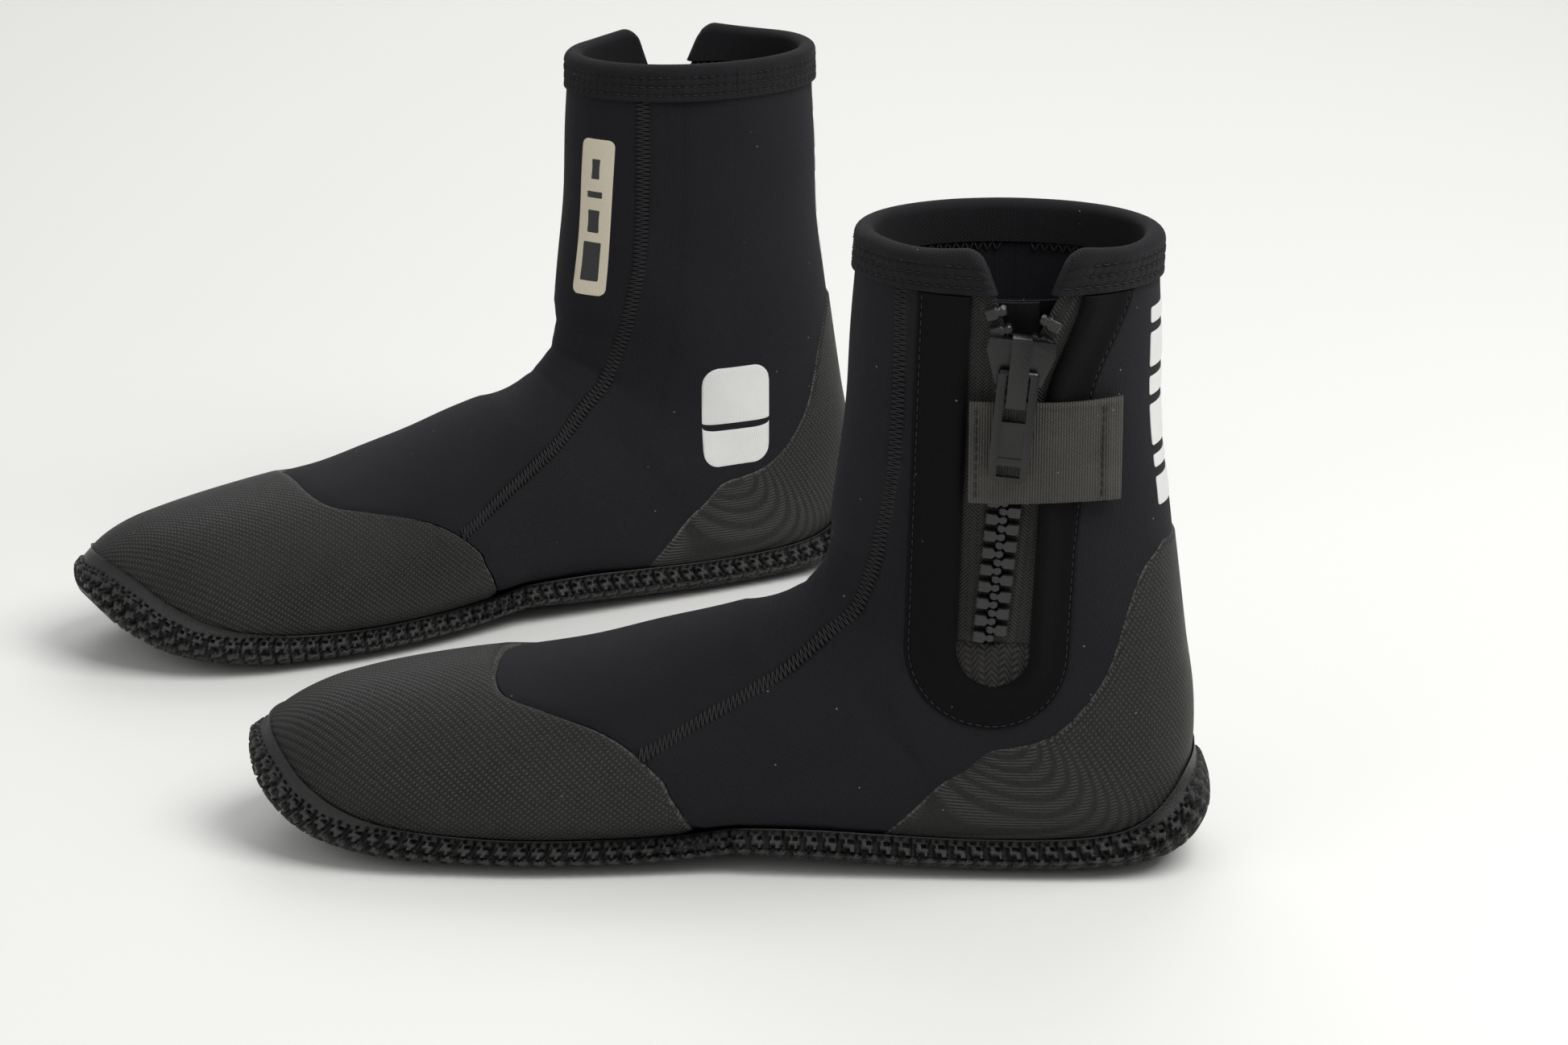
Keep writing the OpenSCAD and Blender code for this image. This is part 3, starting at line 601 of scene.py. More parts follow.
def makeMaterial(name, f):
    # colour and roughness follow the relief and the uneven tone; the relief is also the bump. The relief's
    # share of the colour is painted highlight and shade: lighter on raised parts, darker in hollows
    made = bpy.data.materials.new(name)
    made.use_nodes = True
    tree = made.node_tree
    shader = tree.nodes["Principled BSDF"]
    place = addNode(tree, "ShaderNodeTexCoord")
    body = place.outputs["Object"]
    grain = addNode(tree, "ShaderNodeGroup", node_tree=groups["grain"])
    for key, value in (("Broad", 28.0), ("Fine", 1500.0)):
        grain.inputs[key].default_value = value
    tree.links.new(body, grain.inputs["Vector"])
    tone, fine = grain.outputs
    height = fine
    if f.get("relief"):
        cloth = addNode(tree, "ShaderNodeGroup", node_tree=groups[f["relief"]])
        cloth.inputs["Pitch"].default_value = f["pitch"]
        if "turn" in f:
            cloth.inputs["Turn"].default_value = f["turn"]
        tree.links.new(place.outputs["UV"], cloth.inputs["Vector"])
        height = calc(tree, "MULTIPLY_ADD", fine, 0.25, cloth.outputs[0])
    mottle = calc(tree, "MULTIPLY", tone, f.get("mottle", 0.4))
    # painted highlight and shade: the higher the relief, the lighter the colour
    mixFactor = calc(tree, "MULTIPLY_ADD", height, f.get("contrast", 0.5), mottle, clamp=True)
    if f.get("grooveShade"):
        # painted shade: the grooves are painted dark, the tone following how high the moulding stands
        high = addNode(tree, "ShaderNodeAttribute", attribute_name="edge").outputs["Fac"]
        mixFactor = calc(tree, "MULTIPLY", mixFactor, high)
    colour = addNode(tree, "ShaderNodeMix", {0: mixFactor, 6: (*f["dark"], 1), 7: (*f["light"], 1)},
                     data_type="RGBA").outputs[2]
    low, high = f["rough"]
    rough = addNode(tree, "ShaderNodeMapRange", {0: tone, 3: low, 4: high}).outputs[0]
    if f.get("lint"):
        lint = addNode(tree, "ShaderNodeGroup", node_tree=groups["lint"])
        lint.inputs["Scale"].default_value = 420.0
        lint.inputs["Amount"].default_value = f["lint"]
        tree.links.new(body, lint.inputs["Vector"])
        colour = addNode(tree, "ShaderNodeMix", {0: calc(tree, "MULTIPLY", lint.outputs[0], 0.55), 6: colour,
                                                 7: (0.35, 0.35, 0.34, 1)}, data_type="RGBA").outputs[2]
    if "wear" in f:
        wear = addNode(tree, "ShaderNodeGroup", node_tree=groups["wear"])
        edge = addNode(tree, "ShaderNodeAttribute", attribute_name="edge")
        tree.links.new(body, wear.inputs["Vector"])
        tree.links.new(edge.outputs["Fac"], wear.inputs["Edge"])
        wear.inputs["Width"].default_value = f["wear"]
        colour = addNode(tree, "ShaderNodeMix", {0: calc(tree, "MULTIPLY", wear.outputs[0], 0.45), 6: colour,
                                                 7: (0.2, 0.2, 0.19, 1)}, data_type="RGBA").outputs[2]
        rough = calc(tree, "MULTIPLY_ADD", wear.outputs[0], -0.16, rough)
    tree.links.new(colour, shader.inputs["Base Color"])
    tree.links.new(rough, shader.inputs["Roughness"])
    bump = addNode(tree, "ShaderNodeBump", {"Height": height, "Distance": f["depth"], "Strength": 1.0})
    tree.links.new(bump.outputs[0], shader.inputs["Normal"])
    shader.inputs["Metallic"].default_value = f.get("metal", 0.0)
    shader.inputs["Specular IOR Level"].default_value = f.get("gloss", 0.5)
    shader.inputs["Sheen Weight"].default_value = f.get("sheen", 0.0)
    shader.inputs["Sheen Roughness"].default_value = 0.5
    return made


materials = {name: makeMaterial(name, f) for name, f in finishes.items()}
print("materials made:", len(materials))

# ---- Neoprene panels ----

panels = {"creases": ((38, 0.7), (58, 1.0), (76, 0.6)), "inner": -5.0, "unevenness": 0.3, "creaseDepth": 0.6,
          "cuff": 2.868, "rearLow": 1.43}


def uneven(points, down=None, across=None):
    # slow swells of a soft wall, and shallow creases over the instep
    x, y, z = points[..., 0], points[..., 1], points[..., 2]
    swell = np.sin(x / 13 + z / 19 + 1) * np.sin(z / 15 - y / 23) + 0.6 * np.sin(x / 7.1 - z / 9.3 + y / 11)
    fan = np.degrees(np.arctan2(pivotX - x, pivotZ - z))
    near = bell(np.hypot(x - pivotX, z - pivotZ) - 31, 26) * (z < 118)
    crease = sum(depth * bell(fan - at, 3.2) for at, depth in panels["creases"])
    return panels["unevenness"] * swell - panels["creaseDepth"] * crease * near


def capStart(v):
    # q where a side panel's column v meets the toe cap's edge, found by repeating edge and angle
    angle = vampSide + (lasted - vampSide) * v
    for step in range(8):
        q = toeCapEdge(angle) + qGap
        first = zigzag(q)
        angle = first + (lasted - first) * v
    return q


def makePanels(side):
    cuff, rearLow = panels["cuff"], panels["rearLow"]

    def frontPlace(u, v, d):
        start = toeCapEdge(vampSide * (2 * v - 1)) + qGap
        q = start + (cuff - start) * u
        return skin(q, (2 * v - 1) * zigzag(q), d)

    def innerPlace(u, v, d):
        start = capStart(v)
        q = start + (cuff - start) * u
        first, last = zigzag(q), np.minimum(lasted, angleWhere(q, cutFront))
        return skin(q, first + (last - first) * v, d)

    def outerPlace(u, v, d):
        start = capStart(1 - v)
        q = start + (cuff - start) * u
        first, last = -np.minimum(lasted, hingeAngle(q)), -zigzag(q)
        return skin(q, first + (last - first) * v, d)

    def rearPlace(u, v, d):
        q = rearLow + (cuff - rearLow) * u
        first, last = angleWhere(q, cutRear), 360 - hingeAngle(q)
        return skin(q, first + (last - first) * v, d)

    for name, place, rows, columns, seams, middle, half, nodes in (
            ("front", frontPlace, 130, 70, "tlr", 0.5, "front", ("vamp", "shin_panel")),
            ("inner_front", innerPlace, 130, 50, "tl", 0, "front", ("inner_quarter", "inner_shin_strip")),
            ("outer_front", outerPlace, 130, 50, "tr", 1, "front", ("outer_quarter", "outer_shin_strip")),
            ("rear", rearPlace, 100, 110, "", 0.5, "rear", ("calf_panel",))):
        sheet = shell(side + "_" + name + "_panel", side, place, rows, columns, skinOut, panels["inner"],
                      "neoprene", seams, middle=middle, relief=uneven)
        attach(sheet, side, half, "neoprene", *nodes)


# ---- Rubber toe cap and heel counter ----

caps = {"proud": 0.15, "inner": -4.2, "counterInner": -2.2, "edgeDip": (0.75, 0.8),
        "tip": 0.06, "counterLow": 1.262, "counterRun": 0.726}


def makeCaps(side):
    def capPlace(u, v, d):
        a = -lasted + 2 * lasted * v
        q = caps["tip"] + (toeCapEdge(a) - qGap - caps["tip"]) * u
        return skin(q, a, d)

    def counterPlace(u, v, d):
        q = caps["counterLow"] + caps["counterRun"] * u
        first = counterEdge(q)
        return skin(q, first + (360 - 2 * first) * v, d)

    cap = shell(side + "_toe_cap_rubber", side, capPlace, 80, 150, caps["proud"], caps["inner"],
                "capRubber", "b", caps["edgeDip"], middle=0.5, level=[1, 2])
    attach(cap, side, None, "cap_rubber", "toe_cap")
    counter = shell(side + "_heel_counter_rubber", side, counterPlace, 90, 130, caps["proud"],
                    caps["counterInner"], "capRubber", "blr", caps["edgeDip"], middle=0.5, level=[0, 1],
                    upright=True)
    attach(counter, side, None, "cap_rubber", "heel_counter")


# ---- Outsole: a cup whose wall rows are level contours, with moulded blocks ----

sole = {"stations": 600, "rows": 44, "side": 4.0, "under": 8.2, "strip": 1.7, "blockHigh": 4.6,
        "blockLong": 5.8, "groove": 1.1, "depth": 2.1, "topSide": 1.2, "topUnder": 1.6}


def halfContour(level, offset, under, count):
    # the inner half of the contour z = level(x), from the heel to the toe, resampled by its length
    def inside(x):
        share = widthAt(x, level(x), offset, under)[2]
        return 0 < share < 1 and x < pivotX + footRun + offset
    ends = []
    for good, bad in ((60.0, -30.0), (200.0, 310.0)):
        for step in range(36):
            mid = (good + bad) / 2
            good, bad = (mid, bad) if inside(mid) else (good, mid)
        ends.append(good)
    f = np.linspace(0, 1, 5000)
    f = f**4 / (f**4 + (1 - f) ** 4)
    x = ends[0] + (ends[1] - ends[0]) * f
    z = level(x)
    y, middle, share = widthAt(x, z, offset, under)
    y[0] = y[-1] = 0
    line = np.stack([x, y, z, middle], -1)
    far = resample(line, 0)[1]
    return resample(line, np.linspace(0, far, count + 1))[0]


def contourLoop(half):
    # both halves as one closed loop: heel, inner side, toe, outer side
    inner = np.stack([half[:, 0], half[:, 3] + half[:, 1], half[:, 2]], -1)
    outer = np.stack([half[:, 0], half[:, 3] - half[:, 1], half[:, 2]], -1)
    return np.concatenate([inner, outer[-2:0:-1]])


def cupFloor(loopCount, rungs, first, ring):
    # rungs between the two halves of the lowest loop: indices of quads, and triangles at both tips
    n = loopCount // 2
    inside = first + np.arange((n - 1) * (rungs - 1)).reshape(n - 1, rungs - 1)
    left, right = ring + np.arange(1, n), ring + loopCount - np.arange(1, n)
    net = np.concatenate([left[:, None], inside, right[:, None]], 1)
    quads = np.stack([net[:-1, :-1], net[:-1, 1:], net[1:, 1:], net[1:, :-1]], -1).reshape(-1, 4)
    heel = np.stack([np.full(rungs, ring), net[0, 1:], net[0, :-1]], -1)
    toe = np.stack([np.full(rungs, ring + n), net[-1, :-1], net[-1, 1:]], -1)
    return quads, np.concatenate([heel, toe])


def rungPoints(loop, rungs, lowest):
    # points of the rungs, level across, kept at or above the lowest height
    n = len(loop) // 2
    a, b = loop[1:n], loop[:n:-1]
    t = np.linspace(0, 1, rungs + 1)[1:-1, None]
    points = a[:, None] + (b - a)[:, None] * t
    points[..., 2] = np.maximum(0, points[..., 2] + lowest)
    return points.reshape(-1, 3)


def blocks(along, down, strip):
    # 1 on a block and 0 in a groove: rows of blocks below the strip, each row half a block along,
    # with rows that step up and down so that the blocks lock together
    step = 0.75 * np.sign(np.sin(2 * np.pi * along / (sole["blockLong"] * 0.5)))
    row = (down - strip + step) / sole["blockHigh"]
    shift = 0.5 * (np.floor(row) % 2)
    column = along / sole["blockLong"] + shift
    awayRow = (0.5 - np.abs(row % 1 - 0.5)) * sole["blockHigh"]
    awayColumn = (0.5 - np.abs(column % 1 - 0.5)) * sole["blockLong"]
    away = np.minimum(awayRow, awayColumn) - sole["groove"] / 2
    return np.where(row < 0, 0.55, blendStep(away / 0.55))


def makeOutsole(side):
    n, rows = sole["stations"], sole["rows"]

    def bottomAt(x, under):
        # height of the underside: the lasted foot's lowest line, lowered by under and kept above the floor
        q = np.degrees(np.arccos(np.clip((x - pivotX) / (footRun + sole["side"]), 0, 1))) / 90
        tall = closing(pivotX + footRun * np.cos(np.radians(90 * q)), upper["length"] - 26)
        low = np.maximum(upper["floor"], curve(upper["bottom"], x))
        toe = upper["noseHeight"] - tall * (upper["noseHeight"] - low + under)
        heel = 11 - 4 * np.clip((135 - x) / 75, 0, 1) - under
        return np.maximum(0, np.where(x > pivotX, toe, heel))

    def wallLevel(x, rise, under, lift=0.0):
        # height a share rise of the way from the underside to the sole's upper edge
        low = bottomAt(x, under) + lift
        return low + rise * (soleLine(x) - low)

    halves = []
    for t in np.linspace(0, 1, rows):
        rise = 0.02 + 0.98 * t**1.5
        close = blendStep((rise - 0.45) / 0.55)
        spread = sole["side"] + (sole["topSide"] - sole["side"]) * close
        under = sole["under"] + (sole["topUnder"] - sole["under"]) * close
        halves.append(halfContour(lambda x: wallLevel(x, rise, sole["under"]), spread, under, n))
    wall = np.stack([contourLoop(h) for h in halves])
    down, along = arcs(wall)
    fromTop = down[-1:] - down
    toward = wall[..., 0]
    strip = sole["strip"] + 3.5 * blendStep((toward - 235) / 40) + 4 * blendStep((15 - toward) / 20)
    relief = blocks(along[rows // 2][None, :] + 0 * down, fromTop, strip)
    # outward direction across the wall: the sideways cross of both grid directions
    acrossDir = np.roll(wall, -1, 1) - np.roll(wall, 1, 1)
    upDir = np.gradient(wall, axis=0)
    normal = np.cross(upDir, acrossDir)
    normal /= np.linalg.norm(normal, axis=-1, keepdims=True) + 1e-9
    centre = np.array([140.0, 0, 40.0])
    normal *= np.sign(((wall - centre) * normal).sum(-1, keepdims=True))
    wall = wall - normal * (sole["depth"] * (1 - relief))[..., None]
    wall[..., 2] = np.maximum(0, wall[..., 2])
    lip = [contourLoop(halfContour(lambda x, r=r: soleLine(x) + r, off, off, n))
           for r, off in ((0.15, 0.9), (0.1, 0.5), (-0.5, -0.5))]
    inner = [contourLoop(halfContour(lambda x: wallLevel(x, rise, 0.8, 0.6), 0.3, 0.8, n))
             for rise in (0.6, 0.3, 0.06)]
    loops = np.concatenate([wall, np.stack(lip + inner)])
    count = loops.shape[1]
    points = loops.reshape(-1, 3)
    lowRungs, highRungs = rungPoints(loops[0], 30, -0.5), rungPoints(loops[-1], 6, -0.2)
    quadsLow, trisLow = cupFloor(count, 30, len(points), 0)
    quadsHigh, trisHigh = cupFloor(count, 6, len(points) + len(lowRungs), (len(loops) - 1) * count)
    faces = [gridFaces(len(loops), count, 0, True), quadsLow[:, ::-1], trisLow[:, ::-1], quadsHigh, trisHigh]
    # painted shade: the tone is kept on the blocks and painted dark in the grooves and on the lip and inner
    # loops; the rungs keep it
    unshadedShare = np.zeros(loops.shape[:2])
    unshadedShare[:rows] = relief
    edge = np.concatenate([unshadedShare.ravel(), np.ones(len(lowRungs) + len(highRungs))])
    made = addMesh(side + "_outsole_rubber", side, np.concatenate([points, lowRungs, highRungs]), faces,
                   "soleRubber", edge=edge)
    attach(made, side, None, "sole_rubber", "outsole")


# ---- Insole and midsole ----

def makeInsole(side):
    place = lambda u, v, d: skin(0.2 + 1.44 * u, 130 + 100 * v, d)
    attach(shell(side + "_insole_cloth", side, place, 60, 30, -6, -9.5, "gusset", middle=0.5),
           side, None, "insole_cloth", "insole")
    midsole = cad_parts[side + "_midsole"]
    midsole.data.materials.clear()
    midsole.data.materials.append(materials["foam"])


# ---- Collar binding with three rows of topstitch ----

binding = {"low": 190.4, "out": 0.45, "in": -6.0, "rows": (192.6, 195.8, 199.2), "ear": 1.2, "corner": 5.5}


def makeBinding(side, half):
    top, out, inner = upper["height"], binding["out"], binding["in"]
    middle, radius = (out + inner) / 2, (out - inner) / 2
    turn = np.radians(np.linspace(0, 180, 15))
    outerZ = np.linspace(binding["low"], top - radius, 26)
    profile = np.concatenate([
        [[binding["low"] - 0.2, -0.7], [binding["low"] - 0.1, out - 0.4]],
        np.stack([outerZ, out + 0 * outerZ], -1),
        np.stack([top - radius + radius * np.sin(turn[1:-1]), middle + radius * np.cos(turn[1:-1])], -1),
        np.stack([np.linspace(top - radius, binding["low"], 6), np.full(6, inner)], -1),
        [[binding["low"] - 0.2, inner + 0.6], [binding["low"] - 0.2, -3.0]]])
    columns = 150

    def place(z, share, d):
        q = 2 + (z - pivotZ) / shaftRun
        rise = np.clip((z - binding["low"]) / 14, 0, 1)
        if half == "front":
            first = -hingeAngle(q)
            last = angleWhere(q, lambda h: 54.5 + 5.5 * rise)
        else:
            first = angleWhere(q, lambda h: 37.5 - 6.5 * rise)
            last = 360 - hingeAngle(q)
        return skin(q, first + (last - first) * share, d)

    share = np.linspace(0, 1, columns)[None, :]
    z, d = profile[:, :1] + 0 * share, profile[:, 1:] + 0 * share
    base = place(z, share, d)
    across = arcs(base)[1][5:6]
    atNotch = across[:, -1:] - across if half == "front" else across
    groove = sum(bell(z - row, 0.55) for row in binding["rows"])
    pucker = sum(bell(z - row, 1.8) for row in binding["rows"])
    wrinkle = 0.3 * np.sin(across / 3.7 + 2 * np.sin(across / 17)) * bell(z - 199, 4)
    outside = d > middle
    d = d + outside * (-0.45 * groove + 0.14 * pucker * np.sin(2 * np.pi * across / 3.2) + wrinkle)
    d = d + outside * 0.5 * bell(atNotch, 7) * np.clip((z - 192) / 6, 0, 1)
    # the fold closes round at the notch, and the rim stands a little higher there
    roundEnd = np.sqrt(np.clip(1 - np.clip(1 - atNotch / 2.4, 0, 1) ** 2, 0.02, 1))
    d = -2.7 + (d + 2.7) * roundEnd
    stand = 0.75 * bell(atNotch, 12) - 0.55 * bell(atNotch - 26, 16)
    sag = -0.9 + binding["ear"] * stand
    corner = binding["corner"] * (1 - np.sqrt(1 - np.clip(1 - atNotch / binding["corner"], 0, 1) ** 2))
    z = z + sag * np.clip((z - 196) / 8, 0, 1) - corner * np.clip((z - 192) / 12, 0, 1)
    points = place(z, share, d)
    n = len(profile)
    faces = [gridFaces(columns, n, 0, True), np.stack([np.arange(n)[::-1], (columns - 1) * n + np.arange(n)])]
    down = arcs(points)[0]
    uv = np.stack([across + 0 * down, down], -1) / 1000
    name = side + "_collar_binding_" + half + "_knit"
    made = addMesh(name, side, points.transpose(1, 0, 2), faces, "binding", uv.transpose(1, 0, 2))
    attach(made, side, half, "binding_knit", "collar_binding_" + half)
    for k, row in enumerate(binding["rows"]):
        line = np.linspace(0.01, 0.99, 300)
        path, up = place(row + 0 * line, line, 0.12 + 0 * line), place(row + 0 * line, line, 1.1 + 0 * line)
        attach(stitches(side + "_binding_stitch_" + half + "_" + str(k + 1), side, path, up - path, "thread",
                        2.3, 3.2, 0.2), side, half, "binding_knit")
    # the row of looped thread inside, under the binding
    line = np.linspace(0.03, 0.97, 400)
    centre = place(189 + 0 * line, line, -5.1 + 0 * line)
    total = resample(centre, 0)[1]
    inside = lambda s, w, h: place(188.8 + w, 0.03 + 0.94 * np.clip(s / total, 0, 1), -5.0 - h)
    attach(ladder(side + "_lining_stitch_" + half, side, inside, total, "thread", 1.3, 2.6, 0.3),
           side, half, "binding_knit")


# ---- Seams ----

def makeSeams(side):
    for word, sign in (("inner", 1), ("outer", -1)):
        line = np.linspace(0.88, 2.86, 900)
        centre = skin(line, sign * zigzag(line), skinOut)
        far = np.concatenate([[0], np.cumsum(np.linalg.norm(np.diff(centre, axis=0), axis=-1))])
        seam = sign * zigzag(line)
        degree = np.linalg.norm(skin(line, seam + 1, 0) - skin(line, seam, 0), axis=-1)

        def place(s, w, h):
            q = np.interp(s, far, line)
            return skin(q, sign * zigzag(q) + w / np.interp(q, line, degree), skinOut - 0.25 + h)

        thread = ladder(side + "_" + word + "_seam_thread", side, place, far[-1], "thread")
        attach(thread, side, "front", "neoprene")


# ---- The zip: padded welt, tapes, teeth, base webbing, gusset, slider and puller ----

# a span is a lowest height and the length above it
zipParts = {"tape": (-1.75, -2.75), "tapeSpan": (78.2, 111.6), "cordAt": 5.2, "baseSpan": (64.6, 14.2),
            "gussetDeep": {"front": -5.9, "rear": -8.6}, "firstTooth": 81.5, "lastTooth": 188.0,
            "weltTop": 189.8, "bandFront": 17.0, "bandRear": 13.0, "bandLow": 14.5, "toothPitch": 5.5,
            "weltRound": [[0, -2.4], [0.7, 0.1], [2.2, 1.45], [4.6, 1.95], [7, 1.35], [9.6, 0.5], [12, 0.2],
                          [14.6, 0.15], [15.3, -0.3], [16, 0.05], [17, -0.85]]}


def weltLine(half, t, grow):
    # point in x and z at t down the straight part (0 to 1) and round the end (1 to 2), grown outward
    z = zipParts["weltTop"] + (windowLow[1] - zipParts["weltTop"]) * np.clip(t, 0, 1)
    turn = np.radians(90 * np.clip(t - 1, 0, 1))
    low = windowLow[1] - (windowR + grow * zipParts["bandLow"]) * np.sin(turn)
    if half == "front":
        straight = windowFront(z) + grow * zipParts["bandFront"]
        bent = windowLow[0] + (windowR + grow * zipParts["bandFront"]) * np.cos(turn)
    else:
        straight = windowRear(z) - grow * (zipParts["bandRear"] + np.maximum(0, z - 110) * 0.04)
        bent = windowLow[0] - (windowR + grow * zipParts["bandRear"]) * np.cos(turn)
    return np.where(t <= 1, straight, bent), np.where(t <= 1, z, low)


def zipNodes(part, half):
    # the CAD nodes that one half of the zip stands for; the front half takes the lower ones too
    return ["zip_" + part + "_" + half] + (["zip_" + part + "_lower"] if half == "front" else [])


def makeZip(side, half):
    front = half == "front"
    sign = 1 if front else -1
    t = np.concatenate([np.linspace(0, 1, 84), 1 + np.linspace(0, 1, 30)[1:]])[:, None]
    g = np.linspace(0, 1, 44)[None, :]
    x, z = weltLine(half, t, g)
    d = curve(zipParts["weltRound"], 17 * g) + 0.12 * uneven(sidePoint(x, z, 0))
    outer, inner = sidePoint(x, z, d), sidePoint(x, z, -3.2)
    down, across = arcs(outer)
    uv = np.stack([across, down], -1).reshape(-1, 2) / 1000
    points = np.concatenate([outer.reshape(-1, 3), inner.reshape(-1, 3)])
    made = addMesh(side + "_zip_welt_" + half + "_pad", side, points, shellFaces(*x.shape), "welt",
                   np.concatenate([uv, uv]))
    attach(made, side, half, "welt_neoprene", *zipNodes("welt", half))
    fine = np.concatenate([np.linspace(0, 1, 500), 1 + np.linspace(0, 1, 200)[1:]])
    sx, sz = weltLine(half, fine, 0.9)
    path, up = sidePoint(sx, sz, -0.12), sidePoint(sx, sz, 1)
    thread = stitches(side + "_welt_stitch_" + half, side, path, up - path, "thread", 2.0, 2.7, 0.2)
    attach(thread, side, half, "welt_neoprene")

    def tapePlace(u, v, d):
        z = zipParts["tapeSpan"][0] + zipParts["tapeSpan"][1] * u
        edge = windowFront(z) + 2.5 if front else windowRear(z) - 2.5
        teethSide = chainX(z) + sign * (parting(z) + 1)
        start, last = (edge, teethSide) if front else (teethSide, edge)
        return sidePoint(start + (last - start) * v, z, d)

    def cord(base, down, across):
        # a ridge along the tape, at a set distance from the teeth
        fromTeeth = across[:, -1:] - across if front else across
        return 0.5 * np.exp(-((fromTeeth - zipParts["cordAt"]) ** 2))

    tape = shell(side + "_zip_tape_" + half + "_twill", side, tapePlace, 110, 30, *zipParts["tape"],
                 "tape", relief=cord)
    attach(tape, side, half, "tape_twill", *zipNodes("tape", half))

    # teeth: a block with a neck and a rounded head that reaches between its two neighbours
    outline = np.array([[5.2, -1.5], [5.2, 1.5], [4.9, 1.8], [1.9, 1.8], [1.5, 1.4], [1.1, 0.85], [0.5, 0.8],
                        [0.1, 1.25], [-0.7, 1.25], [-1.25, 0.7], [-1.25, -0.7], [-0.7, -1.25], [0.1, -1.25],
                        [0.5, -0.8], [1.1, -0.85], [1.5, -1.4], [1.9, -1.8], [4.9, -1.8]])
    lowest = zipParts["firstTooth"] + (0 if front else zipParts["toothPitch"] / 2)
    heights = np.arange(lowest, zipParts["lastTooth"], zipParts["toothPitch"])
    slope = -10 / 111 + sign * 0.4 * (heights > 168.5)
    tilt = np.arctan(-slope)
    acrossDir = np.stack([np.cos(tilt), 0 * tilt, np.sin(tilt)], -1)[:, None, None]
    upDir = np.stack([-np.sin(tilt), 0 * tilt, np.cos(tilt)], -1)[:, None, None]
    levels = np.array([[-2.1, 1.0], [1.35, 1.0], [1.75, 0.86]])
    centre = np.array([2.4, 0.0])
    flat = (outline - centre) * levels[:, 1][:, None, None] + centre
    rowX = chainX(heights) + sign * parting(heights)
    origin = np.stack([rowX, chainY(heights), heights], -1)[:, None, None]
    outward = np.array([0, 1, 0]) * levels[:, 0][:, None, None]
    points = origin + acrossDir * (sign * flat[..., :1]) + upDir * flat[..., 1:] + outward
    k, count = len(outline), len(heights)
    start = np.arange(count)[:, None, None] * 3 * k
    caps3 = np.stack([np.arange(k)[::-1], 2 * k + np.arange(k)])
    faces = [(gridFaces(3, k, 0, True) + start).reshape(-1, 4), (caps3 + start).reshape(-1, k)]
    made = addMesh(side + "_zip_teeth_" + half + "_row", side, points, faces, "teeth", smooth=False)
    attach(made, side, half, "tooth_plastic", *zipNodes("teeth", half))

    def gussetPlace(u, v, d):
        if front:
            z = 60 + 127 * u
            first, last = 72.5 + 1.5 * u, 38 + 4 * u
        else:
            z = 80 + 107 * u
            first, last = 60 + 0 * u, 30 + 0 * u
        return sidePoint(first + (last - first) * v, z, d)

    def hem(base, down, across):
        # a raised band 5 mm wide at the top, and slow waves
        return 0.35 * blendStep((down - down[-1:] + 5) / 0.8) + 0.15 * np.sin(across / 4 + down / 9)

    deep = zipParts["gussetDeep"][half]
    nodes = ["gusset_front", "gusset_lower"] if front else ["gusset_rear"]
    flap = shell(side + "_gusset_" + half + "_flap", side, gussetPlace, 70, 24, deep, deep - 1, "gusset",
                 relief=hem)
    attach(flap, side, half, "gusset_neoprene", *nodes)


def makeBase(side):
    def place(u, v, d):
        z = zipParts["baseSpan"][0] + zipParts["baseSpan"][1] * u
        radius = windowR + 0.6
        curved = np.sqrt(np.maximum(0, radius**2 - (windowLow[1] - z) ** 2))
        reach = np.where(z > windowLow[1], radius, curved)
        return sidePoint(windowLow[0] + reach * (1 - 2 * v), z, d)

    def swell(base, down, across):
        # rounded across, falling 0.9 mm to both edges
        return 0.9 * np.sin(np.pi * across / np.maximum(1e-6, across[:, -1:])) ** 0.6 - 0.9

    braid = shell(side + "_zip_base_braid", side, place, 24, 40, -0.1, -2.9, "webbing", "b", (0.8, 0.8),
                  middle=0.5, relief=swell)
    attach(braid, side, None, "base_webbing", "zip_base_webbing")


def bevelledCopy(side, node, name, finish, body, width):
    # a copy of the CAD node, merged, with rounded edges
    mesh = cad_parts[side + "_" + node].data.copy()
    work = bmesh.new()
    work.from_mesh(mesh)
    bmesh.ops.remove_doubles(work, verts=work.verts, dist=1e-6)
    bmesh.ops.dissolve_limit(work, angle_limit=0.03, verts=work.verts, edges=work.edges)
    work.to_mesh(mesh)
    work.free()
    mesh.materials.clear()
    mesh.materials.append(materials[finish])
    mesh.polygons.foreach_set("use_smooth", np.full(len(mesh.polygons), True))
    made = bpy.data.objects.new(side + "_" + name, mesh)
    bpy.context.scene.collection.objects.link(made)
    bevel = made.modifiers.new("Bevel", "BEVEL")
    bevel.width, bevel.segments, bevel.limit_method, bevel.harden_normals = width, 3, "ANGLE", True
    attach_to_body(made, side + "_" + body)
    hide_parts(side + "_" + node)


# ---- Keeper strap ----

strap = {"low": 126.0, "high": 158.0, "front": 62.5, "rear": 16.0, "out": 3.9, "in": 2.6, "hem": 21.5}


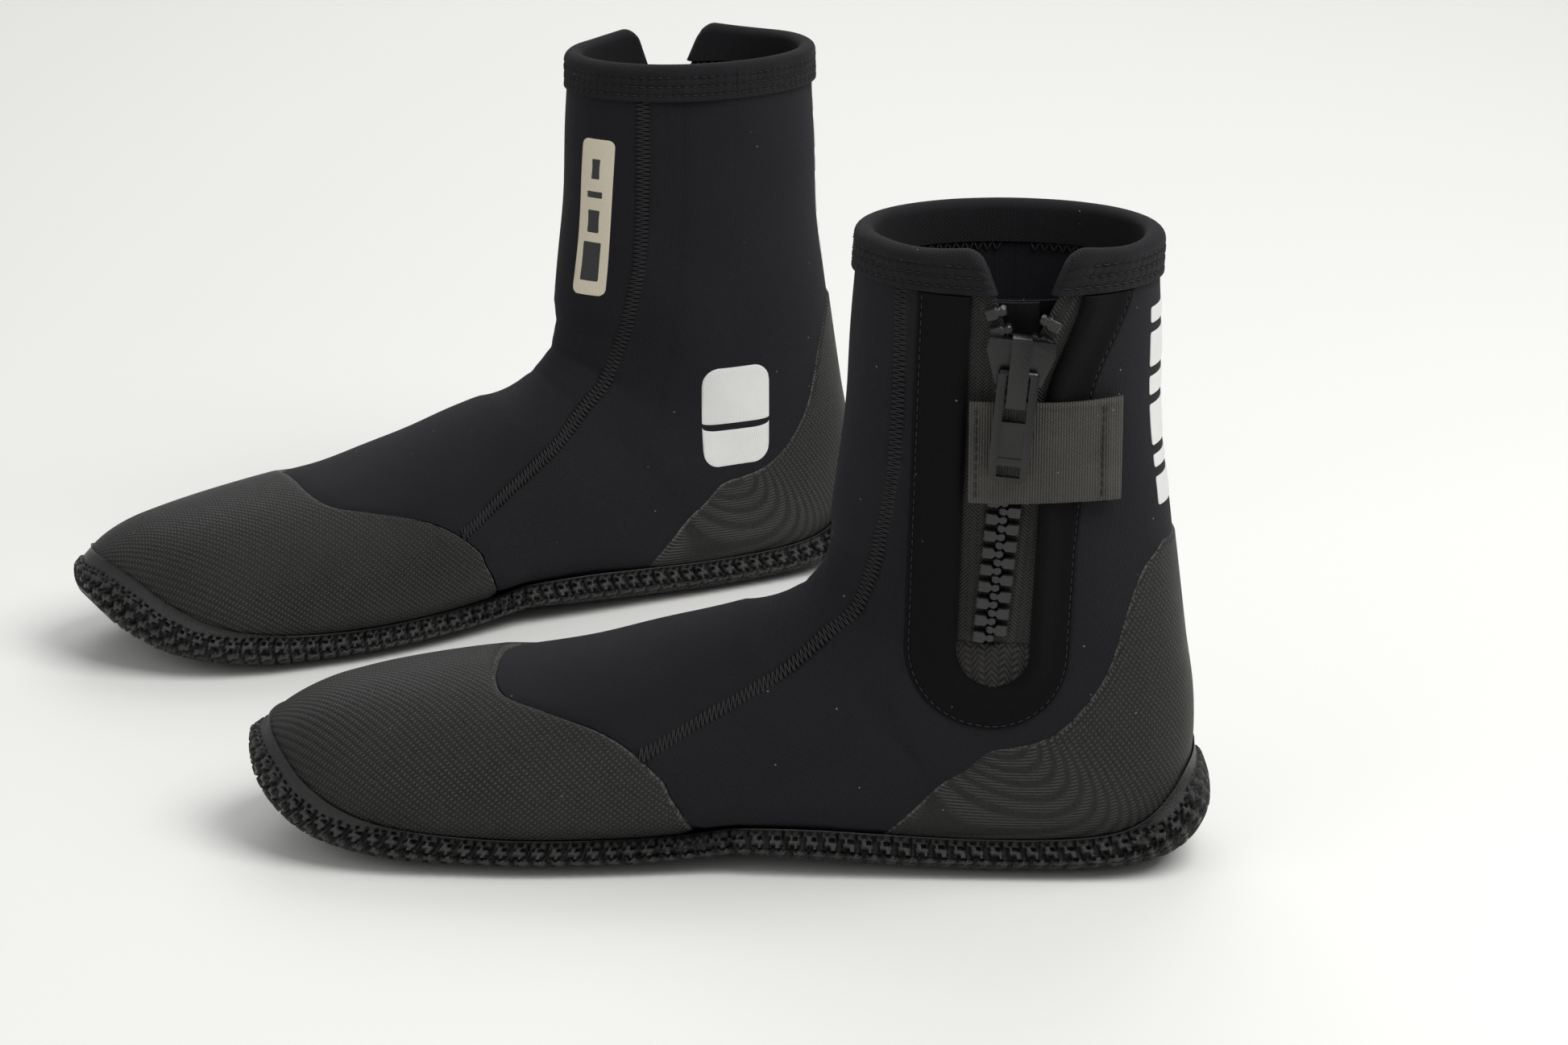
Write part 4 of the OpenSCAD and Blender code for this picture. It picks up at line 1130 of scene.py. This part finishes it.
def makeStrap(side):
    def place(u, v, d):
        x = strap["front"] + (strap["rear"] - strap["front"]) * v
        z = strap["low"] + (strap["high"] - strap["low"]) * u + 0.35 * np.sin(x / 7) * (u - 0.5)
        return sidePoint(x, z, d)

    def relief(base, down, across):
        x = base[..., 0]
        hem = -0.45 * bell(x - strap["hem"], 0.9) + 0.35 * (x < strap["hem"] + 1)
        fold = 0.3 * blendStep((down - down[-1:] + 2.2) / 0.5) * blendStep((44 - x) / 6)
        return hem + fold + 0.12 * np.sin(base[..., 2] / 3.1 + x / 8)

    made = shell(side + "_keeper_strap_webbing", side, place, 60, 90, strap["out"], strap["in"], "strap",
                 "tblr", (0.35, 0.5), relief=relief)
    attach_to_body(made, side + "_strap")
    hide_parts(side + "_keeper_strap")
    z = np.linspace(strap["low"] + 1, strap["high"] - 1, 60)
    for k, x in enumerate((strap["hem"] + 0.3, strap["front"] - 2.2)):
        path, up = sidePoint(x, z, strap["out"] + 0.05), sidePoint(x, z, strap["out"] + 1)
        radius = 0.42 if k == 0 else 0.22
        thread = stitches(side + "_strap_stitch_" + str(k + 1), side, path, up - path, "thread", 2.6, 2.9,
                          radius)
        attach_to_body(thread, side + "_strap")


# ---- Plain printed marks ----

# height and width in millimetres and corner radius of each mark; label bars are (start, height, width)
# and back bars (start, height)
marks = {"label": (58, 13, 2.6), "labelBars": ((5, 15, 7.5), (23, 9, 5), (36, 3, 6.5), (43, 8, 3.5)),
         "labelLow": 117, "labelTurn": -24, "side": (38, 27, 6.5), "sideAt": (50, 69), "sideSplit": 0.36,
         "splitGap": 0.07, "backLow": 119, "backWide": 27, "degreesPerMm": 1.62,
         "backBars": ((0, 9), (12, 4), (19, 13), (35, 6), (44, 11), (58, 5))}


def roundedSheet(u, v, high, wide, radius):
    # up and across from the middle of a rounded rectangle: its height drops by the corner's circle
    across = wide * (v - 0.5)
    t = np.clip((np.abs(across) - wide / 2 + radius) / radius, 0, 1)
    return (2 * u - 1) * (high / 2 - radius * (1 - np.sqrt(1 - t * t))), across


def makePrints(side):
    flat = {"seams": "tblr", "dip": (0.12, 0.5)}

    def onShaft(u, v, d, low, angle, high, wide, radius):
        # on the shaft, from the height low up, centred on an angle
        up, across = roundedSheet(u, v, high, wide, radius)
        q = 2 + (low + high / 2 + up - pivotZ) / shaftRun
        turned = angle + marks["degreesPerMm"] * across
        return skin(q, turned, d + uneven(skin(q, turned, skinOut)))

    label = lambda u, v, d: onShaft(u, v, d, marks["labelLow"], marks["labelTurn"], *marks["label"])
    patch = shell(side + "_label_patch", side, label, 60, 40, skinOut + 0.25, skinOut - 0.3, "labelPrint",
                  **flat)
    attach(patch, side, "front", "neoprene")
    for k, (start, high, wide) in enumerate(marks["labelBars"]):
        low = marks["labelLow"] + start
        bar = lambda u, v, d: onShaft(u, v, d, low, marks["labelTurn"], high, wide, 0.5)
        ink = shell(side + "_label_bar_" + str(k + 1), side, bar, 24, 12, skinOut + 0.33, skinOut, "labelInk",
                    **flat)
        attach(ink, side, "front", "neoprene")
    high, wide, radius = marks["side"]
    for k, (low, top) in enumerate(((0, marks["sideSplit"]), (marks["sideSplit"] + marks["splitGap"], 1))):
        def block(u, v, d):
            # one rounded block, parted into two unequal pieces by a level gap
            up, across = roundedSheet(low + (top - low) * u, v, high, wide, radius)
            x, z = marks["sideAt"][0] + across, marks["sideAt"][1] + up
            return sidePoint(x, z, d + uneven(sidePoint(x, z, skinOut, -1)), -1)
        attach(shell(side + "_side_mark_" + str(k + 1), side, block, 36, 40, skinOut + 0.3, skinOut - 0.4,
                     "whitePrint", **flat), side, None, "neoprene")
    for k, (start, high) in enumerate(marks["backBars"]):
        low = marks["backLow"] + start
        back = lambda u, v, d: onShaft(u, v, d, low, 180, high, marks["backWide"], 0.8)
        attach(shell(side + "_back_bar_" + str(k + 1), side, back, 14, 40, skinOut + 0.3, skinOut - 0.4,
                     "whitePrint", **flat), side, "rear", "neoprene")


for side in boots:
    makePanels(side)
    makeCaps(side)
    makeOutsole(side)
    makeInsole(side)
    makeSeams(side)
    for half in ("front", "rear"):
        makeBinding(side, half)
        makeZip(side, half)
    makeBase(side)
    bevelledCopy(side, "zip_slider", "slider_body", "paint", "slider", 0.0005)
    bevelledCopy(side, "zip_puller", "puller_tab", "paint", "puller", 0.0006)
    makeStrap(side)
    makePrints(side)
    print(side, "boot made")

# ---- Floor, lights and camera ----

studio = {"floor": (0.86, 0.853, 0.825), "sky": 0.375, "reach": 6.0, "drop": -0.0004,
          "air": (0.96, 0.97, 0.99), "lens": 96.36, "eye": (0.05983, -1.39559, 0.51262), "down": 17.904,
          "lamps": {"key": ((0.9, -0.5, 1.5), 1.2, 24.0), "fill": ((-1.4, -1.2, 1.0), 1.5, 6.0),
                    "back": ((0.1, 1.5, 1.3), 1.6, 12.5)}}


def makeStudio():
    mesh = bpy.data.meshes.new("floor")
    r, z = studio["reach"], studio["drop"]
    mesh.from_pydata([(-r, -r, z), (r, -r, z), (r, r, z), (-r, r, z)], [], [(0, 1, 2, 3)])
    floor = bpy.data.objects.new("floor", mesh)
    bpy.context.scene.collection.objects.link(floor)
    paper = bpy.data.materials.new("paper")
    paper.use_nodes = True
    tree = paper.node_tree
    flat = addNode(tree, "ShaderNodeTexCoord").outputs["Object"]
    noise = addNode(tree, "ShaderNodeTexNoise", {"Vector": flat, "Scale": 3.0})
    shade = [c * 0.985 for c in studio["floor"]]
    tint = addNode(tree, "ShaderNodeMix", {0: noise.outputs[0], 6: (*shade, 1), 7: (*studio["floor"], 1)},
                   data_type="RGBA")
    tree.links.new(tint.outputs[2], tree.nodes["Principled BSDF"].inputs["Base Color"])
    tree.nodes["Principled BSDF"].inputs["Roughness"].default_value = 0.7
    mesh.materials.append(paper)
    for name, (at, size, power) in studio["lamps"].items():
        data = bpy.data.lights.new(name, "AREA")
        data.size, data.energy = size, power
        lamp = bpy.data.objects.new(name, data)
        lamp.location = at
        toward = np.array([0, 0, 0.08]) - np.array(at)
        tilt = math.pi - math.acos(toward[2] / np.linalg.norm(toward))
        lamp.rotation_euler = (tilt, 0, math.atan2(toward[1], toward[0]) - math.pi / 2)
        bpy.context.scene.collection.objects.link(lamp)
    world = bpy.data.worlds.new("studio")
    world.use_nodes = True
    world.node_tree.nodes["Background"].inputs[0].default_value = (*studio["air"], 1)
    world.node_tree.nodes["Background"].inputs[1].default_value = studio["sky"]
    bpy.context.scene.world = world
    bpy.context.scene.view_settings.view_transform = "Standard"
    camera = bpy.data.objects.new("camera", bpy.data.cameras.new("camera"))
    camera.data.lens, camera.data.sensor_width = studio["lens"], 36
    camera.location = studio["eye"]
    camera.rotation_euler = (math.radians(90 - studio["down"]), 0, 0)
    camera.data.clip_start = 0.05
    bpy.context.scene.collection.objects.link(camera)
    bpy.context.scene.camera = camera


makeStudio()
print("studio made")
